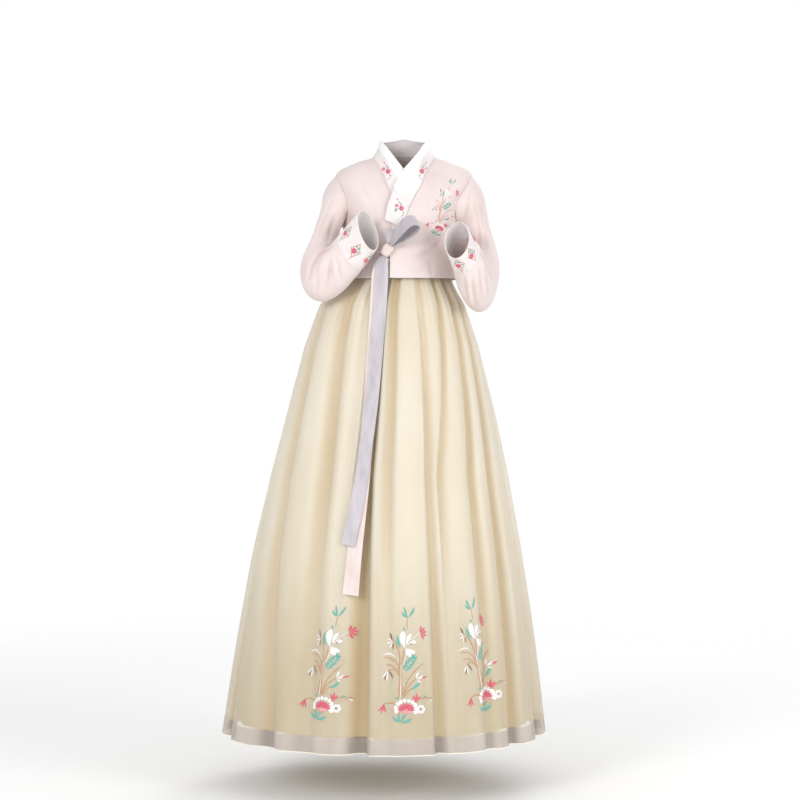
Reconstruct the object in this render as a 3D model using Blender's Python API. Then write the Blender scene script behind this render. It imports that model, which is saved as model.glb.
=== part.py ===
"""A worn hanbok: a short wrapped jacket (jeogori) with bent sleeves over a long pleated skirt (chima).

Metres, +Z up. The garment faces -Y. The origin is where the wearer's neck and shoulders hold it:
on the body's axis, level with the shoulder seam beside the collar. Left and right are the wearer's.
Angles round the body are in degrees: 0 is the front, 90 the wearer's left side (+X), 180 the back.
"""

import bpy
import numpy as np

# Driving dimensions
CLOTH = 0.0015            # jacket cloth
SKIRT_CLOTH = 0.0012      # skirt, lining and tie cloth
SEAM_GAP = 0.00034        # between two pieces sewn edge to edge
LAYER_GAP = 0.0004        # between two pieces that lie on each other
TAIL_GAP = 0.0010         # between the two hanging ties
TAIL_SINK = 0.0041        # how far the ties settle between the skirt's ridges
JACKET_LENGTH = 0.272     # shoulder to jacket hem
SKIRT_TOP = -0.190
SKIRT_HEM = -1.273
LINING_RISE = 0.035       # the lining's hem is this much above the skirt's
BAND_TOP = -0.128
WRAP_LIFT = 0.0048        # how far the lapping front stands off the front under it
COLLAR_CLOTH, COLLAR_LIFT = 0.0016, 0.0031        # the collar's thickness, and its outer face off the front
STRIP_CLOTH, STRIP_LIFT = 0.0012, 0.0048          # the same for the white strip on the collar
BAND_CLOTH = 0.0030
CUFF_LIFT = 0.0006
LINING_FOLDED = 0.5                               # the lining's folds as a share of the skirt's
LINING_APART, LINING_PRESSED = 0.0035, 0.55       # the lining's gap, and its share of the deepest fold

COLOURS = {
    "pink_cloth": (0.86, 0.76, 0.74, 1.0),
    "white_cloth": (0.92, 0.91, 0.90, 1.0),
    "grey_cloth": (0.62, 0.60, 0.65, 1.0),
    "cream_organza": (0.90, 0.83, 0.65, 1.0),
    "cream_lining": (0.88, 0.80, 0.62, 1.0),
}
ROUGHNESS = 0.7

# Rings of the jacket's body, from the hem up to the top of the standing collar: the heights of the
# side, front and back, the half width, the reach to the front and back, the shift sideways, and how far
# the round neckline (0) turns into a pointed one (1).
BODY_ROWS = np.array([
    (-JACKET_LENGTH, -0.276, -0.272, 0.134, 0.1200, 0.104, -0.018, 0.0),
    (-0.215, -0.216, -0.215, 0.127, 0.1170, 0.098, -0.013, 0.0),
    (-0.155, -0.165, -0.155, 0.127, 0.1140, 0.098, -0.008, 0.0),
    (-0.095, -0.133, -0.100, 0.140, 0.1100, 0.100, -0.004, 0.0),
    (-0.040, -0.119, -0.052, 0.150, 0.1040, 0.090, 0.0, 0.0),
    (-0.014, -0.107, -0.020, 0.106, 0.0990, 0.080, 0.0, 0.1),
    (0.000, -0.092, 0.004, 0.067, 0.0940, 0.066, 0.0, 0.3),
    (0.033, -0.039, 0.046, 0.048, 0.0860, 0.050, 0.0, 1.0),
])
UNDERARM, SHOULDER, NECK, COLLAR_TOP = 2.0, 4.0, 6.0, 7.0
ARMHOLE_DEGREES = 30.0

# Rings of the skirt: height, half width, reach to the front and back, shift sideways.
SKIRT_ROWS = np.array([
    (SKIRT_TOP, 0.114, 0.1030, 0.086, -0.012),
    (-0.230, 0.118, 0.1060, 0.089, -0.015),
    (-0.272, 0.127, 0.1120, 0.096, -0.019),
    (-0.330, 0.164, 0.1340, 0.126, -0.026),
    (-0.420, 0.195, 0.1620, 0.163, -0.028),
    (-0.560, 0.230, 0.1950, 0.200, -0.0295),
    (-0.700, 0.263, 0.2270, 0.235, -0.033),
    (-0.880, 0.300, 0.2650, 0.272, -0.0375),
    (-1.080, 0.332, 0.3030, 0.307, -0.0405),
    (SKIRT_HEM, 0.358, 0.3350, 0.338, -0.0447),
])

# Valleys pressed into the skirt: each one's angle at the top, the middle and the hem, its depth in mm
# at the same three heights, and its width in mm on either side at the hem.
FOLD_ROWS = np.array([
    (-66, -60, -44, 6, 13, 17, 60, 40),
    (-36, -31, -27, 7, 14, 10, 60, 30),
    (-19, -20, -17, 5, 6, 3, 24, 26),
    (-6, -9, -6.4, 9, 24, 33, 50, 12),
    (3, 1, 2, 10, 14, 4, 34, 10),
    (22, 18.5, 19, 6, 14, 20, 10, 30),
    (42, 26, 25, 9, 13, 5, 22, 12),
    (57, 44, 40, 9, 18, 13, 24, 26),
    (73, 60, 54, 9, 20, 24, 38, 15),
    (88, 79, 74, 7, 15, 19, 40, 26),
    (104, 100, 98, 9, 19, 24, 26, 44),
    (120, 120, 119, 7, 17, 19, 44, 16),
    (136, 137, 140, 10, 20, 25, 16, 40),
    (152, 155, 157, 7, 15, 17, 36, 22),
    (170, 172, 174, 11, 22, 29, 18, 44),
    (188, 189, 192, 8, 16, 17, 40, 20),
    (205, 207, 210, 10, 20, 25, 20, 40),
    (222, 224, 228, 7, 15, 19, 36, 22),
    (240, 242, 246, 9, 19, 24, 40, 16),
    (257, 260, 264, 7, 16, 19, 22, 40),
    (274, 280, 288, 7, 15, 19, 40, 22),
])
FOLD_TOP, FOLD_MIDDLE = -0.30, -0.70
FOLD_FADE_FROM, FOLD_FADE_OVER = -0.20, 0.10      # the folds run out up towards the band
FOLD_NARROWEST = 0.42                             # a fold's width at the narrowest ring, as a share
SKIRT_SEAMS = (-1, 3, 9, 14, 20)                  # each seam runs down the fold of this row of FOLD_ROWS
SKIRT_PANELS = ("front_right", "front_left", "back_left", "back_right")
SKIRT_HEIGHTS = np.array((SKIRT_TOP, -0.235, -0.280, -0.330, -0.385, -0.460, -0.560, -0.680, -0.820, -0.970,
                          -1.130, SKIRT_HEM))
LINING_HEIGHTS = np.append(SKIRT_HEIGHTS[:5], (-0.50, -0.66, -0.84, -1.04, SKIRT_HEM + LINING_RISE))

# Front edges of the two jacket fronts, in degrees, at each body ring from the hem to under the collar.
EDGE_RINGS = np.array((0.0, 1.0, 2.0, 3.0, 4.0, 5.0, 5.9, 6.14))
LEFT_FRONT_EDGE = np.array((-5.0, -7.0, -6.8, -6.0, -5.0, -3.5, -1.5, 3.0))
RIGHT_FRONT_EDGE = np.array((11.0, 11.0, 10.0, 8.0, 6.5, 5.0, 1.5, -3.0))
FRONT_TOP = 6.14

# The collar past the angle where it leaves the neckline, seen from the front: x and z of its inner
# edge, x and z of its outer edge.
COLLAR_TURN = np.array((180.0, 155.0, 130.0, 110.0, 90.0, 73.0, 56.0, 40.0))
COLLAR_ROWS = np.array([
    (0.015, -0.0165, 0.034, -0.075),
    (0.000, -0.039, 0.022, -0.100),
    (-0.014, -0.065, 0.0115, -0.122),
    (-0.026, -0.093, 0.0035, -0.141),
    (-0.035, -0.122, -0.001, -0.156),
    (-0.040, -0.150, -0.003, -0.168),
])
COLLAR_UNDER_ROWS, COLLAR_STEPS = 3, 2            # rows of the right half; columns made from each row
COLLAR_ENDS, STRIP_ENDS = (1, 0.5), (2, 5.5)      # columns left out at the right end and at the left end
COLLAR_STRIP_FROM = 0.60                          # the white strip covers the collar from here inwards
COLLAR_EDGE = 6.99                                # the ring of the collar's upper edge

# Sleeves: each section is a point on the elbow side of the arm, a point on the crease side, and a half
# width across. The armhole is the ring before the first section.
RIGHT_SLEEVE_ROWS = np.array([
    (-0.1737, -0.008, -0.074, -0.1410, -0.030, -0.1630, 0.0455),
    (-0.1872, -0.028, -0.140, -0.1424, -0.055, -0.1800, 0.040),
    (-0.1995, -0.050, -0.220, -0.1492, -0.079, -0.1950, 0.0385),
    (-0.2142, -0.072, -0.278, -0.1574, -0.090, -0.2025, 0.039),
    (-0.2048, -0.092, -0.315, -0.1610, -0.096, -0.2065, 0.0395),
    (-0.1790, -0.103, -0.327, -0.1620, -0.101, -0.2070, 0.039),
    (-0.1500, -0.113, -0.316, -0.1600, -0.107, -0.2050, 0.038),
    (-0.1170, -0.128, -0.287, -0.1530, -0.114, -0.1985, 0.036),
    (-0.0930, -0.144, -0.259, -0.1390, -0.122, -0.1850, 0.034),
    (-0.0780, -0.156, -0.239, -0.1170, -0.135, -0.1620, 0.033),
    (-0.0650, -0.168, -0.220, -0.0895, -0.155, -0.1340, 0.031),
])
LEFT_SLEEVE_ROWS = np.array([
    (0.1735, -0.010, -0.078, 0.1330, -0.022, -0.1600, 0.044),
    (0.1870, -0.026, -0.150, 0.1400, -0.040, -0.1830, 0.041),
    (0.1930, -0.040, -0.215, 0.1490, -0.064, -0.2030, 0.039),
    (0.1920, -0.050, -0.280, 0.1520, -0.082, -0.2110, 0.038),
    (0.1800, -0.068, -0.330, 0.1510, -0.095, -0.2130, 0.038),
    (0.1650, -0.098, -0.349, 0.1490, -0.105, -0.2130, 0.038),
    (0.1500, -0.128, -0.331, 0.1460, -0.112, -0.2090, 0.038),
    (0.1380, -0.148, -0.298, 0.1430, -0.118, -0.2030, 0.037),
    (0.1260, -0.164, -0.268, 0.1370, -0.127, -0.1910, 0.034),
    (0.1170, -0.180, -0.252, 0.1260, -0.141, -0.1750, 0.031),
    (0.1110, -0.196, -0.239, 0.1140, -0.158, -0.1580, 0.028),
])
CUFF_FROM = 9.0                                   # the section where the cuff is sewn on
SLEEVE_RINGS = np.array((0.0, 0.5, 1.0, 1.6, 2.3, 3.0, 3.6, 4.2, 4.8, 5.4, 6.0, 6.6, 7.2, 8.0, CUFF_FROM))
CUFF_RINGS = np.array((CUFF_FROM, 9.7, 10.4, 11.0))
SLEEVE_SIDES = 20
ARMHOLE_STEP, ARMHOLE_RISE = 0.0007, 0.0004       # the sleeve's first ring stands clear of the body

# The ties. Each tail's middle runs down the front: x, z and half width.
GREY_TAIL_ROWS = np.array([
    (-0.0408, -0.2321, 0.0085),
    (-0.0478, -0.2460, 0.0135),
    (-0.0492, -0.2700, 0.0147),
    (-0.0525, -0.3400, 0.0144),
    (-0.0582, -0.4200, 0.0140),
    (-0.0688, -0.5400, 0.0140),
    (-0.0798, -0.6250, 0.0140),
    (-0.0942, -0.7310, 0.0145),
    (-0.1177, -0.8456, 0.0146),
])
PINK_TAIL_ROWS = np.array([
    (-0.0425, -0.2332, 0.0080),
    (-0.0505, -0.2470, 0.0135),
    (-0.0548, -0.2700, 0.0147),
    (-0.0592, -0.3400, 0.0146),
    (-0.0645, -0.4200, 0.0145),
    (-0.0722, -0.5400, 0.0142),
    (-0.0798, -0.6250, 0.0140),
    (-0.0902, -0.7310, 0.0150),
    (-0.1037, -0.8570, 0.0155),
    (-0.1124, -0.9475, 0.0168),
])
TAIL_HEIGHTS = np.array((-0.241, -0.250, -0.262, -0.278, -0.300, -0.330, -0.370, -0.420, -0.480, -0.550,
                         -0.630, -0.710, -0.780, -0.835, -0.890))
TAIL_EASE = 0.004                                 # how softly a tail turns from the jacket to the skirt
TAIL_SINK_FROM, TAIL_SINK_OVER = -0.30, 0.06
KNOT_CENTRE = (-0.0355, -0.2180)
KNOT_SIZE = (0.0115, 0.0070, 0.0125)              # half sizes across, out from the chest, along the loop
KNOT_ALONG = np.array((0.62, 0.0, 0.785))
KNOT_ACROSS = np.array((0.785, 0.0, -0.62))
KNOT_RINGS = ((-1.0, 0.86), (-0.5, 1.0), (0.5, 1.0), (1.0, 0.86))
KNOT_HOLLOW, KNOT_SQUARE = 0.62, 0.7
KNOT_SEAT = 0.0009
LOOP_LENGTH, LOOP_HALF_WIDTH = 0.080, 0.0185
LOOP_START = np.array((0.0076, -0.0034, 0.0104))  # from the knot's middle
LOOP_ALONG = np.array((0.715, -0.290, 0.655))
LOOP_ACROSS = np.array((0.440, -0.800, -0.500))
# The loop's course: how far along, how far out, and its width, as a share of the widest.
LOOP_ROWS = np.array([
    (0.02, 0.0020, 0.36),
    (0.16, 0.0060, 0.62),
    (0.36, 0.0115, 0.92),
    (0.60, 0.0150, 1.0),
    (0.80, 0.0150, 1.0),
    (0.93, 0.0105, 1.0),
    (0.985, 0.0040, 1.0),
    (1.00, -0.0020, 1.0),
    (0.965, -0.0085, 1.0),
    (0.86, -0.0125, 1.0),
    (0.62, -0.0125, 0.98),
    (0.38, -0.0085, 0.84),
    (0.16, -0.0045, 0.56),
    (0.02, -0.0021, 0.34),
])
# The ties' sewn ends: x, z and half width.
GREY_BASE_ROWS = np.array([
    (-0.0200, -0.1720, 0.0165),
    (-0.0235, -0.1880, 0.0150),
    (-0.0270, -0.2020, 0.0100),
])
PINK_BASE_ROWS = np.array([
    (-0.0950, -0.1930, 0.0165),
    (-0.0760, -0.2010, 0.0155),
    (-0.0470, -0.2150, 0.0095),
])


def curve(rows, at):
    """Smooth curve through evenly numbered rows; at may be an array. Returns at's shape + the columns."""
    rows = np.asarray(rows, float)
    at = np.clip(np.asarray(at, float), 0, len(rows) - 1)
    low = np.minimum(at.astype(int), len(rows) - 2)
    f = (at - low)[..., None]
    slope = np.gradient(rows, axis=0)
    step = rows[low + 1] - rows[low]
    a, b = slope[low], slope[low + 1]
    return rows[low] + f * a + f * f * (3 * step - 2 * a - b) + f ** 3 * (a + b - 2 * step)


def smooth(x):
    x = np.clip(x, 0.0, 1.0)
    return x * x * (3 - 2 * x)


def jacket(angle, ring):
    """Point of the jacket's body surface at an angle, in degrees, and a ring number."""
    z_side, z_front, z_back, half, front, back, shift, vee = np.moveaxis(curve(BODY_ROWS, ring), -1, 0)
    a = np.radians(angle)
    sine, cosine = np.sin(a), np.cos(a)
    facing = cosine > 0
    tip = (1 - vee) * cosine ** 2 + vee * (1 - np.abs(sine))
    z = z_side + np.where(facing, z_front - z_side, z_back - z_side) * tip
    return np.stack([shift + half * sine, -np.where(facing, front, back) * cosine, z], -1)


def skirt_ring(z):
    """Ring number of the skirt at a height."""
    return np.interp(-np.asarray(z, float), -SKIRT_ROWS[:, 0], np.arange(len(SKIRT_ROWS)))


def fold_angles(z):
    """Where each fold lies at a height."""
    down = np.clip((FOLD_TOP - z) / (FOLD_TOP - FOLD_MIDDLE), 0, None)
    low = np.clip((FOLD_MIDDLE - z) / (FOLD_MIDDLE - SKIRT_HEM), 0, 1)
    top, middle, hem = FOLD_ROWS[:, 0], FOLD_ROWS[:, 1], FOLD_ROWS[:, 2]
    return np.where(low[..., None] > 0, middle + (hem - middle) * low[..., None],
                    top + (middle - top) * np.minimum(down, 1)[..., None])


def fold_depth(angle, z):
    """How far the folds press the skirt in, in metres."""
    angle, z = np.broadcast_arrays(np.asarray(angle, float), np.asarray(z, float))
    low = smooth((FOLD_MIDDLE - z) / (FOLD_MIDDLE - SKIRT_HEM))[..., None]
    down = smooth((FOLD_TOP - z) / (FOLD_TOP - FOLD_MIDDLE))[..., None]
    deep = FOLD_ROWS[:, 3] + (FOLD_ROWS[:, 4] - FOLD_ROWS[:, 3]) * down
    deep = (deep + (FOLD_ROWS[:, 5] - deep) * low) / 1000
    away = (angle[..., None] - fold_angles(z) + 180) % 360 - 180
    reach = curve(SKIRT_ROWS, skirt_ring(z))[..., 1][..., None]
    arc = np.radians(away) * reach * 1000
    narrow = FOLD_NARROWEST + (1 - FOLD_NARROWEST) * reach / SKIRT_ROWS[-1, 1]
    wide = np.where(arc < 0, FOLD_ROWS[:, 6], FOLD_ROWS[:, 7]) * narrow
    fade = smooth((FOLD_FADE_FROM - z) / FOLD_FADE_OVER)
    return (deep / (1 + (arc / wide * 1.6) ** 4)).max(-1) * fade


def skirt(angle, z, folded=1.0):
    """Point of the skirt's outer surface at an angle and a height."""
    angle, z = np.broadcast_arrays(np.asarray(angle, float), np.asarray(z, float))
    _, half, front, back, shift = np.moveaxis(curve(SKIRT_ROWS, skirt_ring(z)), -1, 0)
    deep = fold_depth(angle, z) * folded
    a = np.radians(angle)
    depth = np.where(np.cos(a) > 0, front, back)
    return np.stack([shift + (half - deep) * np.sin(a), -(depth - deep) * np.cos(a), z], -1)


def sleeve(rows, side, around, section):
    """Point of a sleeve. around is in degrees from the outer line by way of the front."""
    a = np.radians(np.asarray(around, float))
    loop = jacket(side * (90 - ARMHOLE_DEGREES * np.sin(a)), 3 + np.cos(a))
    out, into, half = rows[:, 0:3], rows[:, 3:6], rows[:, 6]
    middle = (out + into) / 2
    path = np.gradient(np.vstack([[loop.mean(axis=tuple(range(loop.ndim - 1)))], middle]), axis=0)[1:]
    across = np.cross(out - into, path)
    across /= np.linalg.norm(across, axis=1)[:, None]
    across *= np.where(across[:1, 1:2] < 0, 1, -1)
    for k in range(1, len(across)):
        if across[k] @ across[k - 1] < 0:
            across[k] *= -1
    rings = [loop] + [m + np.cos(a)[..., None] * (o - i) / 2 + np.sin(a)[..., None] * h * w
                      for m, o, i, h, w in zip(middle, out, into, half, across)]
    section = np.clip(np.broadcast_to(np.asarray(section, float), a.shape), 0, len(rings) - 1)
    flat = np.stack(rings)
    low = np.minimum(section.astype(int), len(rings) - 2)
    f = (section - low)[..., None]
    slope = np.gradient(flat, axis=0)
    pick = lambda field, k: np.take_along_axis(field, k[None, ..., None], 0)[0]
    p, q = pick(flat, low), pick(flat, low + 1)
    m, n = pick(slope, low), pick(slope, low + 1)
    step = q - p
    return p + f * m + f * f * (3 * step - 2 * m - n) + f ** 3 * (m + n - 2 * step)


def normals(surface, u, v, outward=1.0):
    """Unit normals of surface(u, v), by small steps."""
    du, dv = 0.02, 0.0005
    along = surface(u + du, v) - surface(u - du, v)
    up = surface(u, v + dv) - surface(u, v - dv)
    n = np.cross(along, up)
    return outward * n / np.linalg.norm(n, axis=-1)[..., None]


def build(name, colour, outer, inner, closed=False):
    """A wall between two grids of points, rows by columns; closed joins the last column to the first."""
    rows, columns = outer.shape[:2]
    points = np.concatenate([outer.reshape(-1, 3), inner.reshape(-1, 3)])
    half = rows * columns
    at = lambda side, r, c: side * half + r * columns + c % columns
    faces = []
    for r in range(rows - 1):
        for c in range(columns if closed else columns - 1):
            faces.append((at(0, r, c), at(0, r, c + 1), at(0, r + 1, c + 1), at(0, r + 1, c)))
            faces.append((at(1, r, c), at(1, r + 1, c), at(1, r + 1, c + 1), at(1, r, c + 1)))
    for c in range(columns if closed else columns - 1):
        faces.append((at(0, 0, c), at(1, 0, c), at(1, 0, c + 1), at(0, 0, c + 1)))
        faces.append((at(0, rows - 1, c), at(0, rows - 1, c + 1), at(1, rows - 1, c + 1), at(1, rows - 1, c)))
    if not closed:
        last = columns - 1
        for r in range(rows - 1):
            faces.append((at(0, r, 0), at(0, r + 1, 0), at(1, r + 1, 0), at(1, r, 0)))
            faces.append((at(0, r, last), at(1, r, last), at(1, r + 1, last), at(0, r + 1, last)))
    mesh = bpy.data.meshes.new(name)
    mesh.from_pydata(points.tolist(), [], faces)
    mesh.update()
    piece = bpy.data.objects.new(name, mesh)
    bpy.context.scene.collection.objects.link(piece)
    mesh.materials.append(material(colour))
    mesh.shade_smooth()
    return piece


def material(colour):
    found = bpy.data.materials.get(colour)
    if found:
        return found
    made = bpy.data.materials.new(colour)
    made.use_nodes = True
    shader = made.node_tree.nodes["Principled BSDF"]
    shader.inputs["Base Color"].default_value = COLOURS[colour]
    shader.inputs["Roughness"].default_value = ROUGHNESS
    return made


def wall(name, colour, surface, u, v, thickness, lift=0.0, closed=False, outward=1.0):
    """A wall whose outer face is surface(u, v) moved out by lift."""
    p, n = surface(u, v), normals(surface, u, v, outward)
    lift = np.broadcast_to(np.asarray(lift, float), u.shape)[..., None]
    return build(name, colour, p + n * lift, p + n * (lift - thickness), closed)


def inset(surface, u, v, gap=SEAM_GAP / 2):
    """Moves the first and last columns of a grid in, so that two pieces that share a seam stay apart."""
    u = u.copy()
    for column, inwards in ((0, 1.0), (-1, -1.0)):
        here, there = surface(u[:, column], v[:, column]), surface(u[:, column] + inwards, v[:, column])
        u[:, column] += inwards * gap / np.maximum(np.linalg.norm(there - here, axis=-1), 1e-5)
    return u


def armhole(ring):
    """Half width of the armhole in degrees at each ring."""
    c = np.clip(ring - (UNDERARM + SHOULDER) / 2, -1, 1)
    return ARMHOLE_DEGREES * np.sqrt(1 - c * c)


def wrap_lift(angle):
    """How far the lapping front stands out at an angle."""
    return WRAP_LIFT * smooth((56.0 - angle) / 30.0)


def body_rings():
    steps = np.radians(np.arange(0, 180 + 1, 360 / SLEEVE_SIDES))
    mid = (UNDERARM + SHOULDER) / 2
    return np.concatenate([(0.0, 0.5, 1.0, 1.5), mid - np.cos(steps), (4.6, 5.2, 5.7, NECK, FRONT_TOP)])


def make_body():
    ring = body_rings()
    side = 90 - armhole(ring)
    share = np.linspace(0, 1, 11)
    edge = np.interp(ring, EDGE_RINGS, LEFT_FRONT_EDGE)
    u = edge[:, None] + (side - edge)[:, None] * share
    v = np.broadcast_to(ring[:, None], u.shape)
    wall("front_left", "pink_cloth", jacket, inset(jacket, u, v), v, CLOTH, wrap_lift(u))
    edge = np.interp(ring, EDGE_RINGS, RIGHT_FRONT_EDGE)
    u = -side[:, None] + (edge + side)[:, None] * share
    wall("front_right", "pink_cloth", jacket, inset(jacket, u, v), v, CLOTH)
    share = np.linspace(0, 1, 15)
    start = 90 + armhole(ring)
    u = start[:, None] + (360 - 2 * start)[:, None] * share
    v = np.broadcast_to(ring[:, None], u.shape)
    wall("back", "pink_cloth", jacket, inset(jacket, u, v), v, CLOTH)


def locate(x, z):
    """Angle and ring of the jacket's front at a place seen from the front."""
    ring, angle = np.full(np.shape(x), 4.0), np.zeros(np.shape(x))
    for _ in range(30):
        rows = curve(BODY_ROWS, ring)
        angle = np.degrees(np.arcsin(np.clip((x - rows[..., 6]) / rows[..., 3], -1, 1)))
        low, high = np.zeros(np.shape(x)), np.full(np.shape(x), COLLAR_TOP)
        for _ in range(24):
            ring = (low + high) / 2
            under = jacket(angle, ring)[..., 2] < z
            low, high = np.where(under, ring, low), np.where(under, high, ring)
    return angle, ring


def collar_grid(share):
    """Angles and rings along the collar, from its right end round to its left, at each share of the way
    from its outer to its inner edge, and the column where the back's middle is."""
    neck = NECK + (COLLAR_EDGE - NECK) * share
    start = jacket(COLLAR_TURN[-1], np.array((COLLAR_EDGE, NECK)))
    rows = np.vstack([[start[0, 0], start[0, 2], start[1, 0], start[1, 2]], COLLAR_ROWS])
    rows = curve(rows, np.arange(1, len(COLLAR_ROWS) * COLLAR_STEPS + 1) / COLLAR_STEPS)
    x = rows[:, 2:3] + (rows[:, 0:1] - rows[:, 2:3]) * share
    z = rows[:, 3:4] + (rows[:, 1:2] - rows[:, 3:4]) * share
    angles, rings = locate(x, z)
    angles = np.concatenate([COLLAR_TURN[:, None] + 0 * neck, angles])
    rings = np.concatenate([neck + 0 * COLLAR_TURN[:, None], rings])
    under = len(COLLAR_TURN) + COLLAR_UNDER_ROWS * COLLAR_STEPS
    angles = np.concatenate([360 - angles[1:under][::-1], angles])
    rings = np.concatenate([rings[1:under][::-1], rings])
    return angles, rings, under - 1


def make_collar():
    for name, share, thickness, lift, start, stop in (
            ("collar", (0.0, 0.3, COLLAR_STRIP_FROM, 0.8, 1.0), COLLAR_CLOTH, COLLAR_LIFT, COLLAR_ENDS[0],
             COLLAR_ENDS[1]),
            ("collar_strip", (COLLAR_STRIP_FROM, 0.8, 1.0), STRIP_CLOTH, STRIP_LIFT, STRIP_ENDS[0],
             STRIP_ENDS[1])):
        angles, rings, back = collar_grid(np.array(share))
        along = np.arange(start, len(angles) - stop, 0.5)
        u, v = curve(angles, along), np.minimum(curve(rings, along), COLLAR_EDGE)
        lap = np.where((along > back)[:, None], wrap_lift(u), 0.0)
        wall(name, "white_cloth", jacket, u, v, thickness, lap + lift)


def make_sleeve(side_name, rows, side):
    surface = lambda around, section: sleeve(rows, side, around, section)
    around = (np.arange(SLEEVE_SIDES) * 360.0 / SLEEVE_SIDES)[::side]
    grid = lambda rings: [np.array(k) for k in np.broadcast_arrays(around, rings[:, None])]
    u, v = grid(SLEEVE_RINGS)
    outward = outward_sign(surface)
    p, n = surface(u, v), normals(surface, u, v, outward)
    step = surface(u[0], v[0] + 0.2) - p[0]
    step /= np.linalg.norm(step, axis=-1)[..., None]
    turn = np.radians(u[0])
    away = normals(jacket, side * (90 - ARMHOLE_DEGREES * np.sin(turn)), 3 + np.cos(turn))
    p[0] += step * ARMHOLE_STEP + away * ARMHOLE_RISE
    last = surface(u[-1], v[-1] - 0.02)
    p[-1] += (last - p[-1]) / np.linalg.norm(last - p[-1], axis=-1)[:, None] * SEAM_GAP
    flip = slice(None) if winding(p, n) > 0 else slice(None, None, -1)
    build("sleeve_" + side_name, "pink_cloth", p[:, flip], (p - n * CLOTH)[:, flip], True)
    u, v = grid(CUFF_RINGS)
    p, n = surface(u, v), normals(surface, u, v, outward)
    build("cuff_" + side_name, "white_cloth", (p + n * CUFF_LIFT)[:, flip], (p - n * CLOTH)[:, flip], True)


def outward_sign(surface):
    """1 or -1, so that a tube's normals point away from its middle."""
    around = np.arange(0, 360, 30.0)
    section = np.full(around.shape, CUFF_FROM)
    p, n = surface(around, section), normals(surface, around, section)
    return 1.0 if ((p - p.mean(0)) * n).sum() > 0 else -1.0


def winding(p, n):
    """Positive where the grid's columns and rows turn the way its normals point."""
    along, up = p[-2, 1] - p[-2, 0], p[-1, 0] - p[-2, 0]
    return np.cross(along, up) @ n[-2, 0]


def fold_columns(first, last, per_fold, z):
    """Angles, by height, of columns that run down the folds and share the cloth between them evenly."""
    at = np.arange(first * per_fold, last * per_fold + 1) / per_fold
    whole = np.floor(at).astype(int)
    lines = fold_angles(z)
    angle = lambda k: lines[:, k % len(FOLD_ROWS)] + 360.0 * (k // len(FOLD_ROWS))
    return angle(whole) + (angle(whole + 1) - angle(whole)) * (at - whole)


def make_skirt():
    lining = lambda angle, z: skirt(angle, z, LINING_FOLDED)
    deepest = fold_depth(fold_columns(0, len(FOLD_ROWS), 1, LINING_HEIGHTS), LINING_HEIGHTS[:, None]).max(1)
    apart = LINING_APART + LINING_PRESSED * deepest
    for panel, first, last in zip(SKIRT_PANELS, SKIRT_SEAMS[:-1], SKIRT_SEAMS[1:]):
        u = fold_columns(first, last, 5, SKIRT_HEIGHTS)
        v = np.broadcast_to(SKIRT_HEIGHTS[:, None], u.shape)
        u = inset(skirt, u, v)
        wall("skirt_" + panel, "cream_organza", skirt, u[::-1], v[::-1], SKIRT_CLOTH)
        u = fold_columns(first, last, 2, LINING_HEIGHTS)
        v = np.broadcast_to(LINING_HEIGHTS[:, None], u.shape)
        u = inset(lining, u, v, SEAM_GAP)
        wall("lining_" + panel, "cream_lining", lining, u[::-1], v[::-1], SKIRT_CLOTH, -apart[::-1, None])


def band(angle, z):
    """Point of the plain band that the skirt and its lining are gathered into."""
    _, half, front, back, shift = SKIRT_ROWS[0]
    a = np.radians(angle)
    depth = np.where(np.cos(a) > 0, front, back)
    return np.stack([shift + half * np.sin(a), -depth * np.cos(a), z], -1)


def make_band():
    heights = np.array((SKIRT_TOP + SEAM_GAP, (SKIRT_TOP + BAND_TOP) / 2, BAND_TOP))
    u, v = (np.array(k) for k in np.broadcast_arrays(np.arange(0, 360, 10.0), heights[:, None]))
    wall("skirt_band", "cream_lining", band, u, v, BAND_CLOTH, closed=True)


def front_depth(x, z):
    """How far forward the skirt reaches, folds aside, at a place seen from the front."""
    _, half, front, _, shift = np.moveaxis(curve(SKIRT_ROWS, skirt_ring(z)), -1, 0)
    return front * np.sqrt(np.clip(1 - ((x - shift) / half) ** 2, 0, 1))


def make_tail(name, colour, rows, lift):
    """A tie's hanging end. It lies on the jacket's lapped front and then on the skirt's ridges."""
    z = np.append(TAIL_HEIGHTS[TAIL_HEIGHTS > rows[-1, 1] + 0.01], rows[-1, 1])
    z = np.append(rows[0, 1], z[z < rows[0, 1] - 0.001])[:, None]
    fine = curve(rows, np.interp(-z[:, 0], -rows[:, 1], np.arange(len(rows))))
    x, half = fine[:, :1], fine[:, 2:3]
    share = np.linspace(-1, 1, 5)
    lean = np.gradient(x[:, 0], z[:, 0])[:, None]
    lean = lean / np.sqrt(1 + lean ** 2)
    px = x + half * share * np.sqrt(1 - lean ** 2)
    pz = z - half * share * lean
    held = BODY_ROWS[0, 4] + WRAP_LIFT + SKIRT_CLOTH
    sink = TAIL_SINK * smooth((TAIL_SINK_FROM - pz) / TAIL_SINK_OVER)
    reach = front_depth(px, np.minimum(pz, SKIRT_TOP)) - sink
    out = reach + 0.5 * (held - reach + np.sqrt((held - reach) ** 2 + TAIL_EASE ** 2))
    outer = np.stack([px, -out - lift - SKIRT_CLOTH, pz], -1)
    inner = np.stack([px, -out - lift, pz], -1)
    build(name, colour, outer[::-1], inner[::-1])


def knot_place():
    x, z = np.array(KNOT_CENTRE[0]), np.array(KNOT_CENTRE[1])
    angle, ring = locate(x, z)
    p, n = jacket(angle, ring), normals(jacket, angle, ring)
    return p + n * (WRAP_LIFT + KNOT_SEAT + KNOT_SIZE[1])


def loop_axes():
    along = LOOP_ALONG / np.linalg.norm(LOOP_ALONG)
    across = LOOP_ACROSS - along * (LOOP_ACROSS @ along)
    across /= np.linalg.norm(across)
    return along, across, np.cross(across, along)


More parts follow.
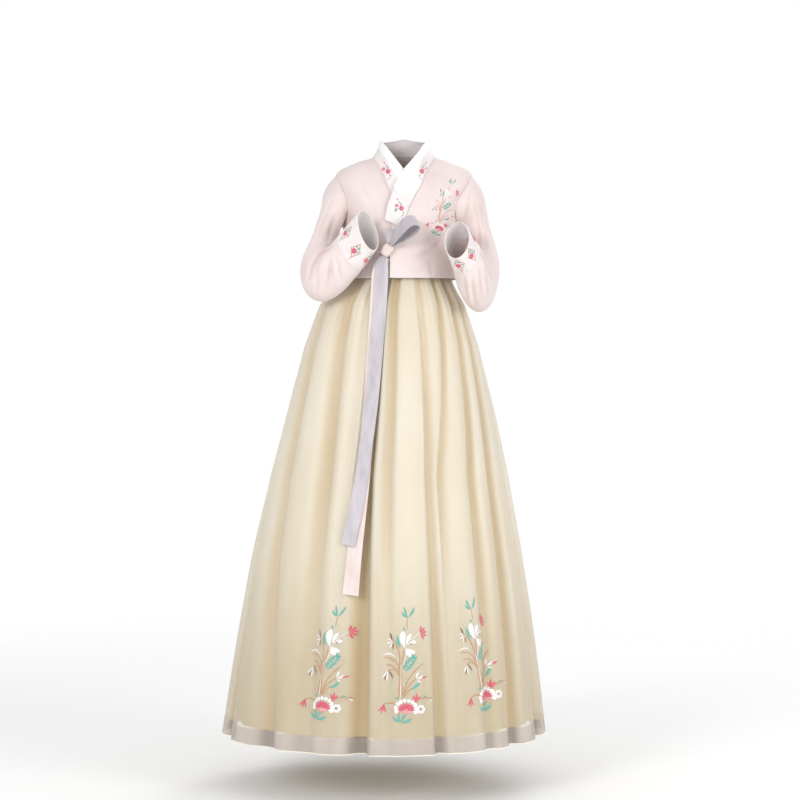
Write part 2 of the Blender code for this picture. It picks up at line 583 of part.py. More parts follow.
def make_knot():
    """The pink tie wrapped once round the grey one."""
    out = np.array((0.0, -1.0, 0.0))
    turn = np.radians(np.arange(0, 360, 22.5))
    square = lambda c: np.sign(c) * np.abs(c) ** KNOT_SQUARE
    wide, deep, long = KNOT_SIZE
    section = KNOT_ACROSS * (wide * square(np.cos(turn)))[:, None]
    section = section + out * (deep * square(np.sin(turn)))[:, None]
    centre = knot_place()
    outer = np.array([centre + KNOT_ALONG * long * share + size * section for share, size in KNOT_RINGS])
    middle = outer.mean(1, keepdims=True)
    inner = middle + (outer - middle) * KNOT_HOLLOW
    if np.cross(outer[1, 1] - outer[1, 0], outer[2, 0] - outer[1, 0]) @ (outer[1, 0] - middle[1, 0]) < 0:
        outer, inner = outer[:, ::-1], inner[:, ::-1]
    build("knot", "pink_cloth", outer, inner, True)


def make_loop():
    along, across, out = loop_axes()
    fine = curve(LOOP_ROWS, np.linspace(0, len(LOOP_ROWS) - 1, 25))
    start = knot_place() + LOOP_START
    share = np.linspace(-1, 1, 4)
    place = lambda f: start + along * f[0] * LOOP_LENGTH + out * f[1]
    middle = np.array([place(f) for f in fine])
    face = np.cross(np.gradient(middle, axis=0), across)
    face /= np.linalg.norm(face, axis=1)[:, None]
    width = (fine[:, 2] * LOOP_HALF_WIDTH)[:, None, None]
    outer = middle[:, None] + across * width * share[None, :, None]
    centre = middle.mean(0)
    if ((middle - centre) * face).sum() < 0:
        face = -face
    inner = outer - face[:, None] * SKIRT_CLOTH
    if np.cross(outer[6, 1] - outer[6, 0], outer[7, 0] - outer[6, 0]) @ face[6] < 0:
        outer, inner = outer[:, ::-1], inner[:, ::-1]
    build("tie_loop", "grey_cloth", outer, inner)


def make_base(name, colour, rows, lift):
    """A tie's sewn end, flat on the front that it is sewn to."""
    fine = curve(rows, np.linspace(0, len(rows) - 1, 6))
    run = np.gradient(fine[:, :2], axis=0)
    run /= np.linalg.norm(run, axis=1)[:, None]
    share = np.linspace(-1, 1, 4)
    x = fine[:, :1] - run[:, 1:2] * fine[:, 2:3] * share
    z = fine[:, 1:2] + run[:, :1] * fine[:, 2:3] * share
    u, v = locate(x, z)
    p, n = jacket(u, v), normals(jacket, u, v)
    outer, inner = p + n * (lift + SKIRT_CLOTH), p + n * lift
    if np.cross(outer[0, 1] - outer[0, 0], outer[1, 0] - outer[0, 0]) @ n[0, 0] < 0:
        outer, inner = outer[:, ::-1], inner[:, ::-1]
    build(name, colour, outer, inner)


def main():
    for old in list(bpy.data.objects):
        bpy.data.objects.remove(old)
    make_body()
    make_collar()
    make_sleeve("left", LEFT_SLEEVE_ROWS, 1)
    make_sleeve("right", RIGHT_SLEEVE_ROWS, -1)
    make_skirt()
    make_band()
    make_tail("tie_tail_pink", "pink_cloth", PINK_TAIL_ROWS, LAYER_GAP)
    make_tail("tie_tail_grey", "grey_cloth", GREY_TAIL_ROWS, LAYER_GAP + TAIL_GAP + SKIRT_CLOTH)
    make_knot()
    make_loop()
    make_base("tie_base_grey", "grey_cloth", GREY_BASE_ROWS, WRAP_LIFT + LAYER_GAP)
    make_base("tie_base_pink", "pink_cloth", PINK_BASE_ROWS, LAYER_GAP)


main()
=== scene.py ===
"""Looks of a worn hanbok: a short wrapped jacket (jeogori) over a long pleated organza skirt (chima).

Metres, +Z up, the garment faces -Y. Left and right are the garment's own. Angles round the body are in
degrees: 0 is the front, 90 the garment's left side (+X), 180 the back. The surfaces are the ones that
the solids were built on; each cloth here is a thin shell on them with its creases, sewing and colour.
"""

import math

import bpy
import numpy as np
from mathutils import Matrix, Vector
from mathutils.bvhtree import BVHTree


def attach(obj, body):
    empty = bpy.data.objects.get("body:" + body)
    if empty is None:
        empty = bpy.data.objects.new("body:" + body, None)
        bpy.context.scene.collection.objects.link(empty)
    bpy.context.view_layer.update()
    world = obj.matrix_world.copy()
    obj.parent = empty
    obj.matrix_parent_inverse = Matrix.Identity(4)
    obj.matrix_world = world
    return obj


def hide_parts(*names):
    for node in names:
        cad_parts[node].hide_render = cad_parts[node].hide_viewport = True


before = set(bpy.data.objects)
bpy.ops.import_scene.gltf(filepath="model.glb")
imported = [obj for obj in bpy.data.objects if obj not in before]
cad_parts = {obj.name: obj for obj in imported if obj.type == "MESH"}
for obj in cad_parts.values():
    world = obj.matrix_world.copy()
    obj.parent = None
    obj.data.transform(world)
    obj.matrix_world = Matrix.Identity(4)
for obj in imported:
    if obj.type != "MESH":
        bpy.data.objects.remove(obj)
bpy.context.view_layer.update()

SKIRT_CLOTH = 0.0012      # skirt, lining and tie cloth
LAYER_GAP = 0.0004        # between two pieces that lie on each other
TAIL_GAP = 0.0010         # between the two hanging ties
TAIL_SINK = 0.0041        # how far the ties settle between the skirt's ridges
JACKET_LENGTH = 0.272     # shoulder to jacket hem
SKIRT_TOP = -0.190
SKIRT_HEM = -1.273
LINING_RISE = 0.035       # the lining's hem is this much above the skirt's
BAND_TOP = -0.128
WRAP_LIFT = 0.0048        # how far the lapping front stands off the front under it
COLLAR_LIFT = 0.0031                              # the collar's outer face off the front
STRIP_LIFT = 0.0048                               # the same for the white strip on the collar
CUFF_LIFT = 0.0006
LINING_FOLDED = 0.5                               # the lining's folds as a share of the skirt's
LINING_APART, LINING_PRESSED = 0.0035, 0.55       # the lining's gap, and its share of the deepest fold
# Rings of the jacket's body, from the hem up to the top of the standing collar: the heights of the
# side, front and back, the half width, the reach to the front and back, the shift sideways, and how far
# the round neckline (0) turns into a pointed one (1).
BODY_ROWS = np.array([
    (-JACKET_LENGTH, -0.276, -0.272, 0.134, 0.1200, 0.104, -0.018, 0.0),
    (-0.215, -0.216, -0.215, 0.127, 0.117, 0.098, -0.013, 0.0),
    (-0.155, -0.165, -0.155, 0.127, 0.114, 0.098, -0.008, 0.0),
    (-0.095, -0.133, -0.1, 0.14, 0.11, 0.1, -0.004, 0.0),
    (-0.04, -0.119, -0.052, 0.15, 0.104, 0.09, 0.0, 0.0),
    (-0.014, -0.107, -0.02, 0.106, 0.099, 0.08, 0.0, 0.1),
    (0.0, -0.092, 0.004, 0.067, 0.094, 0.066, 0.0, 0.3),
    (0.033, -0.039, 0.046, 0.048, 0.086, 0.05, 0.0, 1.0),
])
UNDERARM, SHOULDER, NECK, COLLAR_TOP = 2.0, 4.0, 6.0, 7.0
ARMHOLE_DEGREES = 30.0
# Rings of the skirt: height, half width, reach to the front and back, shift sideways.
SKIRT_ROWS = np.array([
    (SKIRT_TOP, 0.114, 0.1030, 0.086, -0.012),
    (-0.23, 0.118, 0.106, 0.089, -0.015),
    (-0.272, 0.127, 0.112, 0.096, -0.019),
    (-0.33, 0.164, 0.134, 0.126, -0.026),
    (-0.42, 0.195, 0.162, 0.163, -0.028),
    (-0.56, 0.23, 0.195, 0.2, -0.0295),
    (-0.7, 0.263, 0.227, 0.235, -0.033),
    (-0.88, 0.3, 0.265, 0.272, -0.0375),
    (-1.08, 0.332, 0.303, 0.307, -0.0405),
    (SKIRT_HEM, 0.358, 0.3350, 0.338, -0.0447),
])
# Valleys pressed into the skirt: each one's angle at the top, the middle and the hem, its depth in mm
# at the same three heights, and its width in mm on either side at the hem.
FOLD_ROWS = np.array([
    (-66, -60, -44, 6, 13, 17, 60, 40),
    (-36, -31, -27, 7, 14, 10, 60, 30),
    (-19, -20, -17, 5, 6, 3, 24, 26),
    (-6, -9, -6.4, 9, 24, 33, 50, 12),
    (3, 1, 2, 10, 14, 4, 34, 10),
    (22, 18.5, 19, 6, 14, 20, 10, 30),
    (42, 26, 25, 9, 13, 5, 22, 12),
    (57, 44, 40, 9, 18, 13, 24, 26),
    (73, 60, 54, 9, 20, 24, 38, 15),
    (88, 79, 74, 7, 15, 19, 40, 26),
    (104, 100, 98, 9, 19, 24, 26, 44),
    (120, 120, 119, 7, 17, 19, 44, 16),
    (136, 137, 140, 10, 20, 25, 16, 40),
    (152, 155, 157, 7, 15, 17, 36, 22),
    (170, 172, 174, 11, 22, 29, 18, 44),
    (188, 189, 192, 8, 16, 17, 40, 20),
    (205, 207, 210, 10, 20, 25, 20, 40),
    (222, 224, 228, 7, 15, 19, 36, 22),
    (240, 242, 246, 9, 19, 24, 40, 16),
    (257, 260, 264, 7, 16, 19, 22, 40),
    (274, 280, 288, 7, 15, 19, 40, 22),
])
FOLD_TOP, FOLD_MIDDLE = -0.30, -0.70
FOLD_FADE_FROM, FOLD_FADE_OVER = -0.20, 0.10      # the folds run out up towards the band
FOLD_NARROWEST = 0.42                             # a fold's width at the narrowest ring, as a share
SKIRT_SEAMS = (-1, 3, 9, 14, 20)                  # each seam runs down the fold of this row of FOLD_ROWS
SKIRT_PANELS = ("front_right", "front_left", "back_left", "back_right")
# Front edges of the two jacket fronts, in degrees, at each body ring from the hem to under the collar.
EDGE_RINGS = np.array((0.0, 1.0, 2.0, 3.0, 4.0, 5.0, 5.9, 6.14))
LEFT_FRONT_EDGE = np.array((-5.0, -7.0, -6.8, -6.0, -5.0, -3.5, -1.5, 3.0))
RIGHT_FRONT_EDGE = np.array((11.0, 11.0, 10.0, 8.0, 6.5, 5.0, 1.5, -3.0))
FRONT_TOP = 6.14
# The collar past the angle where it leaves the neckline, seen from the front: x and z of its inner
# edge, x and z of its outer edge.
COLLAR_TURN = np.array((180.0, 155.0, 130.0, 110.0, 90.0, 73.0, 56.0, 40.0))
COLLAR_ROWS = np.array([
    (0.015, -0.0165, 0.034, -0.075),
    (0.0, -0.039, 0.022, -0.1),
    (-0.014, -0.065, 0.0115, -0.122),
    (-0.026, -0.093, 0.0035, -0.141),
    (-0.035, -0.122, -0.001, -0.156),
    (-0.04, -0.15, -0.003, -0.168),
])
COLLAR_UNDER_ROWS, COLLAR_STEPS = 3, 2            # rows of the right half; columns made from each row
COLLAR_ENDS, STRIP_ENDS = (1, 0.5), (2, 5.5)      # columns left out at the right end and at the left end
COLLAR_STRIP_FROM = 0.60                          # the white strip covers the collar from here inwards
COLLAR_EDGE = 6.99                                # the ring of the collar's upper edge
# Sleeves: each section is a point on the elbow side of the arm, a point on the crease side, and a half
# width across. The armhole is the ring before the first section.
RIGHT_SLEEVE_ROWS = np.array([
    (-0.1737, -0.008, -0.074, -0.141, -0.03, -0.163, 0.0455),
    (-0.1872, -0.028, -0.14, -0.1424, -0.055, -0.18, 0.04),
    (-0.1995, -0.05, -0.22, -0.1492, -0.079, -0.195, 0.0385),
    (-0.2142, -0.072, -0.278, -0.1574, -0.09, -0.2025, 0.039),
    (-0.2048, -0.092, -0.315, -0.161, -0.096, -0.2065, 0.0395),
    (-0.179, -0.103, -0.327, -0.162, -0.101, -0.207, 0.039),
    (-0.15, -0.113, -0.316, -0.16, -0.107, -0.205, 0.038),
    (-0.117, -0.128, -0.287, -0.153, -0.114, -0.1985, 0.036),
    (-0.093, -0.144, -0.259, -0.139, -0.122, -0.185, 0.034),
    (-0.078, -0.156, -0.239, -0.117, -0.135, -0.162, 0.033),
    (-0.065, -0.168, -0.22, -0.0895, -0.155, -0.134, 0.031),
])
LEFT_SLEEVE_ROWS = np.array([
    (0.1735, -0.01, -0.078, 0.133, -0.022, -0.16, 0.044),
    (0.187, -0.026, -0.15, 0.14, -0.04, -0.183, 0.041),
    (0.193, -0.04, -0.215, 0.149, -0.064, -0.203, 0.039),
    (0.192, -0.05, -0.28, 0.152, -0.082, -0.211, 0.038),
    (0.18, -0.068, -0.33, 0.151, -0.095, -0.213, 0.038),
    (0.165, -0.098, -0.349, 0.149, -0.105, -0.213, 0.038),
    (0.15, -0.128, -0.331, 0.146, -0.112, -0.209, 0.038),
    (0.138, -0.148, -0.298, 0.143, -0.118, -0.203, 0.037),
    (0.126, -0.164, -0.268, 0.137, -0.127, -0.191, 0.034),
    (0.117, -0.18, -0.252, 0.126, -0.141, -0.175, 0.031),
    (0.111, -0.196, -0.239, 0.114, -0.158, -0.158, 0.028),
])
CUFF_FROM = 9.0                                   # the section where the cuff is sewn on
# The ties. Each tail's middle runs down the front: x, z and half width.
GREY_TAIL_ROWS = np.array([
    (-0.0408, -0.2321, 0.0085),
    (-0.0478, -0.246, 0.0135),
    (-0.0492, -0.27, 0.0147),
    (-0.0525, -0.34, 0.0144),
    (-0.0582, -0.42, 0.014),
    (-0.0688, -0.54, 0.014),
    (-0.0798, -0.625, 0.014),
    (-0.0942, -0.731, 0.0145),
    (-0.1177, -0.8456, 0.0146),
])
PINK_TAIL_ROWS = np.array([
    (-0.0425, -0.2332, 0.008),
    (-0.0505, -0.247, 0.0135),
    (-0.0548, -0.27, 0.0147),
    (-0.0592, -0.34, 0.0146),
    (-0.0645, -0.42, 0.0145),
    (-0.0722, -0.54, 0.0142),
    (-0.0798, -0.625, 0.014),
    (-0.0902, -0.731, 0.015),
    (-0.1037, -0.857, 0.0155),
    (-0.1124, -0.9475, 0.0168),
])
TAIL_EASE = 0.004                                 # how softly a tail turns from the jacket to the skirt
TAIL_SINK_FROM, TAIL_SINK_OVER = -0.30, 0.06
KNOT_CENTRE = (-0.0355, -0.2180)
KNOT_SIZE = (0.0115, 0.0070, 0.0125)              # half sizes across, out from the chest, along the loop
KNOT_ALONG = np.array((0.62, 0.0, 0.785))
KNOT_ACROSS = np.array((0.785, 0.0, -0.62))
KNOT_SEAT = 0.0009
LOOP_LENGTH, LOOP_HALF_WIDTH = 0.080, 0.0185
LOOP_START = np.array((0.0076, -0.0034, 0.0104))  # from the knot's middle
LOOP_ALONG = np.array((0.715, -0.290, 0.655))
LOOP_ACROSS = np.array((0.440, -0.800, -0.500))
# The loop's course: how far along, how far out, and its width, as a share of the widest.
LOOP_ROWS = np.array([
    (0.02, 0.002, 0.36),
    (0.16, 0.006, 0.62),
    (0.36, 0.0115, 0.92),
    (0.6, 0.015, 1.0),
    (0.8, 0.015, 1.0),
    (0.93, 0.0105, 1.0),
    (0.985, 0.004, 1.0),
    (1.0, -0.002, 1.0),
    (0.965, -0.0085, 1.0),
    (0.86, -0.0125, 1.0),
    (0.62, -0.0125, 0.98),
    (0.38, -0.0085, 0.84),
    (0.16, -0.0045, 0.56),
    (0.02, -0.0021, 0.34),
])
# The ties' sewn ends: x, z and half width.
GREY_BASE_ROWS = np.array([
    (-0.02, -0.172, 0.0165),
    (-0.0235, -0.188, 0.015),
    (-0.027, -0.202, 0.01),
])
PINK_BASE_ROWS = np.array([
    (-0.095, -0.193, 0.0165),
    (-0.076, -0.201, 0.0155),
    (-0.047, -0.215, 0.0095),
])


def curve(rows, at):
    """Smooth curve through evenly numbered rows; at may be an array. Returns at's shape + the columns."""
    rows = np.asarray(rows, float)
    at = np.clip(np.asarray(at, float), 0, len(rows) - 1)
    low = np.minimum(at.astype(int), len(rows) - 2)
    f = (at - low)[..., None]
    slope = np.gradient(rows, axis=0)
    step = rows[low + 1] - rows[low]
    a, b = slope[low], slope[low + 1]
    return rows[low] + f * a + f * f * (3 * step - 2 * a - b) + f ** 3 * (a + b - 2 * step)


def smooth(x):
    x = np.clip(x, 0.0, 1.0)
    return x * x * (3 - 2 * x)


def jacket(angle, ring):
    """Point of the jacket's body surface at an angle, in degrees, and a ring number."""
    z_side, z_front, z_back, half, front, back, shift, vee = np.moveaxis(curve(BODY_ROWS, ring), -1, 0)
    a = np.radians(angle)
    sine, cosine = np.sin(a), np.cos(a)
    facing = cosine > 0
    tip = (1 - vee) * cosine ** 2 + vee * (1 - np.abs(sine))
    z = z_side + np.where(facing, z_front - z_side, z_back - z_side) * tip
    return np.stack([shift + half * sine, -np.where(facing, front, back) * cosine, z], -1)


def skirt_ring(z):
    """Ring number of the skirt at a height."""
    return np.interp(-np.asarray(z, float), -SKIRT_ROWS[:, 0], np.arange(len(SKIRT_ROWS)))


def fold_angles(z):
    """Where each fold lies at a height."""
    down = np.clip((FOLD_TOP - z) / (FOLD_TOP - FOLD_MIDDLE), 0, None)
    low = np.clip((FOLD_MIDDLE - z) / (FOLD_MIDDLE - SKIRT_HEM), 0, 1)
    top, middle, hem = FOLD_ROWS[:, 0], FOLD_ROWS[:, 1], FOLD_ROWS[:, 2]
    return np.where(low[..., None] > 0, middle + (hem - middle) * low[..., None],
                    top + (middle - top) * np.minimum(down, 1)[..., None])


def fold_depth(angle, z):
    """How far the folds press the skirt in, in metres."""
    angle, z = np.broadcast_arrays(np.asarray(angle, float), np.asarray(z, float))
    low = smooth((FOLD_MIDDLE - z) / (FOLD_MIDDLE - SKIRT_HEM))[..., None]
    down = smooth((FOLD_TOP - z) / (FOLD_TOP - FOLD_MIDDLE))[..., None]
    deep = FOLD_ROWS[:, 3] + (FOLD_ROWS[:, 4] - FOLD_ROWS[:, 3]) * down
    deep = (deep + (FOLD_ROWS[:, 5] - deep) * low) / 1000
    away = (angle[..., None] - fold_angles(z) + 180) % 360 - 180
    reach = curve(SKIRT_ROWS, skirt_ring(z))[..., 1][..., None]
    arc = np.radians(away) * reach * 1000
    narrow = FOLD_NARROWEST + (1 - FOLD_NARROWEST) * reach / SKIRT_ROWS[-1, 1]
    wide = np.where(arc < 0, FOLD_ROWS[:, 6], FOLD_ROWS[:, 7]) * narrow
    fade = smooth((FOLD_FADE_FROM - z) / FOLD_FADE_OVER)
    return (deep / (1 + (arc / wide * 1.6) ** 4)).max(-1) * fade


def skirt(angle, z, folded=1.0):
    """Point of the skirt's outer surface at an angle and a height."""
    angle, z = np.broadcast_arrays(np.asarray(angle, float), np.asarray(z, float))
    _, half, front, back, shift = np.moveaxis(curve(SKIRT_ROWS, skirt_ring(z)), -1, 0)
    deep = fold_depth(angle, z) * folded
    a = np.radians(angle)
    depth = np.where(np.cos(a) > 0, front, back)
    return np.stack([shift + (half - deep) * np.sin(a), -(depth - deep) * np.cos(a), z], -1)


def band(angle, z):
    """Point of the plain band that the skirt and its lining are gathered into."""
    _, half, front, back, shift = SKIRT_ROWS[0]
    a = np.radians(angle)
    depth = np.where(np.cos(a) > 0, front, back)
    return np.stack([shift + half * np.sin(a), -depth * np.cos(a), z], -1)


def sleeve(rows, side, around, section):
    """Point of a sleeve. around is in degrees from the outer line by way of the front."""
    a = np.radians(np.asarray(around, float))
    loop = jacket(side * (90 - ARMHOLE_DEGREES * np.sin(a)), 3 + np.cos(a))
    out, into, half = rows[:, 0:3], rows[:, 3:6], rows[:, 6]
    middle = (out + into) / 2
    path = np.gradient(np.vstack([[loop.mean(axis=tuple(range(loop.ndim - 1)))], middle]), axis=0)[1:]
    across = np.cross(out - into, path)
    across /= np.linalg.norm(across, axis=1)[:, None]
    across *= np.where(across[:1, 1:2] < 0, 1, -1)
    for k in range(1, len(across)):
        if across[k] @ across[k - 1] < 0:
            across[k] *= -1
    rings = [loop] + [m + np.cos(a)[..., None] * (o - i) / 2 + np.sin(a)[..., None] * h * w
                      for m, o, i, h, w in zip(middle, out, into, half, across)]
    section = np.clip(np.broadcast_to(np.asarray(section, float), a.shape), 0, len(rings) - 1)
    flat = np.stack(rings)
    low = np.minimum(section.astype(int), len(rings) - 2)
    f = (section - low)[..., None]
    slope = np.gradient(flat, axis=0)
    pick = lambda field, k: np.take_along_axis(field, k[None, ..., None], 0)[0]
    p, q = pick(flat, low), pick(flat, low + 1)
    m, n = pick(slope, low), pick(slope, low + 1)
    step = q - p
    return p + f * m + f * f * (3 * step - 2 * m - n) + f ** 3 * (m + n - 2 * step)


def normals(surface, u, v, outward=1.0):
    """Unit normals of surface(u, v), by small steps."""
    du, dv = 0.02, 0.0005
    along = surface(u + du, v) - surface(u - du, v)
    up = surface(u, v + dv) - surface(u, v - dv)
    n = np.cross(along, up)
    return outward * n / np.linalg.norm(n, axis=-1)[..., None]


def armhole(ring):
    """Half width of the armhole in degrees at each ring."""
    c = np.clip(ring - (UNDERARM + SHOULDER) / 2, -1, 1)
    return ARMHOLE_DEGREES * np.sqrt(1 - c * c)


def wrap_lift(angle):
    """How far the lapping front stands out at an angle."""
    return WRAP_LIFT * smooth((56.0 - angle) / 30.0)


def locate(x, z):
    """Angle and ring of the jacket's front at a place seen from the front."""
    ring, angle = np.full(np.shape(x), 4.0), np.zeros(np.shape(x))
    for _ in range(30):
        rows = curve(BODY_ROWS, ring)
        angle = np.degrees(np.arcsin(np.clip((x - rows[..., 6]) / rows[..., 3], -1, 1)))
        low, high = np.zeros(np.shape(x)), np.full(np.shape(x), COLLAR_TOP)
        for _ in range(24):
            ring = (low + high) / 2
            under = jacket(angle, ring)[..., 2] < z
            low, high = np.where(under, ring, low), np.where(under, high, ring)
    return angle, ring


def collar_grid(share):
    """Angles and rings along the collar, from its right end round to its left, at each share of the way
    from its outer to its inner edge, and the column where the back's middle is."""
    neck = NECK + (COLLAR_EDGE - NECK) * share
    start = jacket(COLLAR_TURN[-1], np.array((COLLAR_EDGE, NECK)))
    rows = np.vstack([[start[0, 0], start[0, 2], start[1, 0], start[1, 2]], COLLAR_ROWS])
    rows = curve(rows, np.arange(1, len(COLLAR_ROWS) * COLLAR_STEPS + 1) / COLLAR_STEPS)
    x = rows[:, 2:3] + (rows[:, 0:1] - rows[:, 2:3]) * share
    z = rows[:, 3:4] + (rows[:, 1:2] - rows[:, 3:4]) * share
    angles, rings = locate(x, z)
    angles = np.concatenate([COLLAR_TURN[:, None] + 0 * neck, angles])
    rings = np.concatenate([neck + 0 * COLLAR_TURN[:, None], rings])
    under = len(COLLAR_TURN) + COLLAR_UNDER_ROWS * COLLAR_STEPS
    angles = np.concatenate([360 - angles[1:under][::-1], angles])
    rings = np.concatenate([rings[1:under][::-1], rings])
    return angles, rings, under - 1


def fold_columns(first, last, per_fold, z):
    """Angles, by height, of columns that run down the folds and share the cloth between them evenly."""
    at = np.arange(first * per_fold, last * per_fold + 1) / per_fold
    whole = np.floor(at).astype(int)
    lines = fold_angles(z)
    angle = lambda k: lines[:, k % len(FOLD_ROWS)] + 360.0 * (k // len(FOLD_ROWS))
    return angle(whole) + (angle(whole + 1) - angle(whole)) * (at - whole)


def front_depth(x, z):
    """How far forward the skirt reaches, folds aside, at a place seen from the front."""
    _, half, front, _, shift = np.moveaxis(curve(SKIRT_ROWS, skirt_ring(z)), -1, 0)
    return front * np.sqrt(np.clip(1 - ((x - shift) / half) ** 2, 0, 1))


def knot_place():
    x, z = np.array(KNOT_CENTRE[0]), np.array(KNOT_CENTRE[1])
    angle, ring = locate(x, z)
    p, n = jacket(angle, ring), normals(jacket, angle, ring)
    return p + n * (WRAP_LIFT + KNOT_SEAT + KNOT_SIZE[1])


def loop_axes():
    along = LOOP_ALONG / np.linalg.norm(LOOP_ALONG)
    across = LOOP_ACROSS - along * (LOOP_ACROSS @ along)
    across /= np.linalg.norm(across)
    return along, across, np.cross(across, along)


def outward_sign(surface):
    """1 or -1, so that a tube's normals point away from its middle."""
    around = np.arange(0, 360, 30.0)
    section = np.full(around.shape, CUFF_FROM)
    p, n = surface(around, section), normals(surface, around, section)
    return 1.0 if ((p - p.mean(0)) * n).sum() > 0 else -1.0


def winding(p, n):
    """Positive where the grid's columns and rows turn the way its normals point."""
    along, up = p[-2, 1] - p[-2, 0], p[-1, 0] - p[-2, 0]
    return np.cross(along, up) @ n[-2, 0]


# Creases, seen from the front (side -1) or the back (side 1): x and z of one end, x and z of the other,
# depth and width in mm, side. A negative depth is a ridge.
RIGHT_SLEEVE_CREASES = np.array([
    (-0.158, -0.207, -0.183, -0.223, 4.5, 6.0, -1),
    (-0.183, -0.223, -0.202, -0.256, 3.5, 6.5, -1),
    (-0.2, -0.254, -0.208, -0.28, 2.0, 6.0, -1),
    (-0.17, -0.23, -0.188, -0.275, -2.4, 8.0, -1),
    (-0.16, -0.242, -0.168, -0.3, 2.4, 6.0, -1),
    (-0.146, -0.24, -0.134, -0.288, 1.8, 5.5, -1),
    (-0.15, -0.25, -0.148, -0.298, -1.8, 6.5, -1),
    (-0.186, -0.262, -0.19, -0.305, 1.8, 5.5, -1),
    (-0.128, -0.235, -0.117, -0.265, 1.3, 5.0, -1),
    (-0.16, -0.098, -0.185, -0.175, 1.6, 7.0, -1),
    (-0.15, -0.135, -0.166, -0.195, 2.0, 6.0, -1),
    (-0.177, -0.15, -0.196, -0.215, 1.2, 7.0, -1),
    (-0.145, -0.15, -0.17, -0.205, 2.4, 7.0, 1),
    (-0.16, -0.21, -0.2, -0.245, 3.0, 8.0, 1),
    (-0.165, -0.245, -0.195, -0.29, 2.0, 7.0, 1),
    (-0.165, -0.09, -0.183, -0.15, 1.6, 8.0, 1),
])
LEFT_SLEEVE_CREASES = np.array([
    (0.16, -0.212, 0.169, -0.229, 4.0, 5.5, -1),
    (0.169, -0.229, 0.183, -0.255, 3.4, 5.5, -1),
    (0.183, -0.255, 0.193, -0.28, 2.4, 5.5, -1),
    (0.166, -0.238, 0.172, -0.27, -2.0, 6.0, -1),
    (0.128, -0.272, 0.136, -0.328, 2.4, 4.5, -1),
    (0.144, -0.27, 0.152, -0.334, 2.6, 4.5, -1),
    (0.162, -0.258, 0.17, -0.325, 2.4, 4.5, -1),
    (0.177, -0.262, 0.184, -0.315, 2.0, 4.5, -1),
    (0.136, -0.27, 0.144, -0.333, -1.8, 4.5, -1),
    (0.153, -0.265, 0.161, -0.33, -1.8, 4.5, -1),
    (0.142, -0.08, 0.128, -0.16, 1.6, 6.0, -1),
    (0.156, -0.1, 0.164, -0.19, 2.0, 6.0, -1),
    (0.17, -0.11, 0.178, -0.21, 1.4, 6.5, -1),
    (0.148, -0.145, 0.175, -0.2, 2.4, 7.0, 1),
    (0.155, -0.21, 0.188, -0.25, 3.0, 8.0, 1),
    (0.15, -0.255, 0.176, -0.305, 2.2, 7.0, 1),
    (0.165, -0.09, 0.18, -0.145, 1.6, 8.0, 1),
])
JACKET_CREASES = np.array([
    (-0.13, -0.125, -0.085, -0.19, 2.0, 9.0, -1),
    (-0.125, -0.145, -0.07, -0.235, 1.6, 8.0, -1),
    (-0.1, -0.21, -0.05, -0.235, 1.4, 7.0, -1),
    (0.118, -0.13, 0.07, -0.2, 2.0, 9.0, -1),
    (0.112, -0.17, 0.03, -0.235, 1.6, 8.0, -1),
    (0.09, -0.22, 0.01, -0.225, 1.2, 7.0, -1),
    (0.055, -0.24, 0.06, -0.276, 1.2, 6.0, -1),
    (0.02, -0.248, 0.022, -0.276, 1.0, 6.0, -1),
    (-0.095, -0.238, -0.098, -0.276, 1.2, 6.0, -1),
    (0.095, -0.055, 0.06, -0.12, 1.2, 9.0, -1),
    (-0.1, -0.055, -0.07, -0.12, 1.2, 9.0, -1),
    (-0.125, -0.12, -0.07, -0.17, 2.2, 9.0, 1),
    (0.125, -0.12, 0.075, -0.175, 2.2, 9.0, 1),
    (-0.11, -0.165, -0.03, -0.215, 1.6, 8.0, 1),
    (0.108, -0.16, 0.035, -0.22, 1.6, 8.0, 1),
    (-0.07, -0.23, 0.05, -0.234, 1.2, 7.0, 1),
    (0.0, -0.02, -0.004, -0.09, 1.0, 9.0, 1),
])
PLEAT_FADE_FROM, PLEAT_FADE_TO = -0.285, -0.52     # the fine gathers under the jacket run out by here
PLEATS = 74                                        # fine gathers all round
PLEAT_DEPTH, DRAPE_WAVE = 0.0015, 0.0007           # their depth, and the low waves of the cloth under them
SHELL, ORGANZA_SHELL, CUFF_CLOTH = 0.0010, 0.0008, 0.0014   # thickness of the shells of cloth
HEM_ROLL = 0.0011                                  # radius of a rolled hem or a piped edge
SEAM_RIDGE = 0.0006                                # radius of the ridge along a sewn seam
JACKET_HEM_RISE = 0.0008                           # the piped hem's middle above the jacket's edge
BAND_SHELL, KNOT_SHELL = 0.0025, 0.0022            # thickness of the shells of the band and the knot
CUFF_THINNING, CUFF_EDGE = 0.0005, 0.08            # how far, and over which share, a cuff's edges round
KNOT_ROUNDNESS = 0.72                              # 1 for an oval section, less for a square one
LOOP_CRIMP = 0.0007                                # the loop's small gathers where it leaves the knot
TIE_CREASE = 0.0012                                # depth of the crease down a hanging tie's middle
CREASE_SCALE, CREASE_WIDTH = 1.5, 0.75             # both tables' depths and widths are multiplied by these
CREASE_SHADE_FULL = 0.0045                               # the painted crease shade is full at this depth of a crease
COLLAR_ROUND = 0.0006                              # how far the collar's long edges round off
SLEEVE_SIDES = 84                                  # points round a sleeve


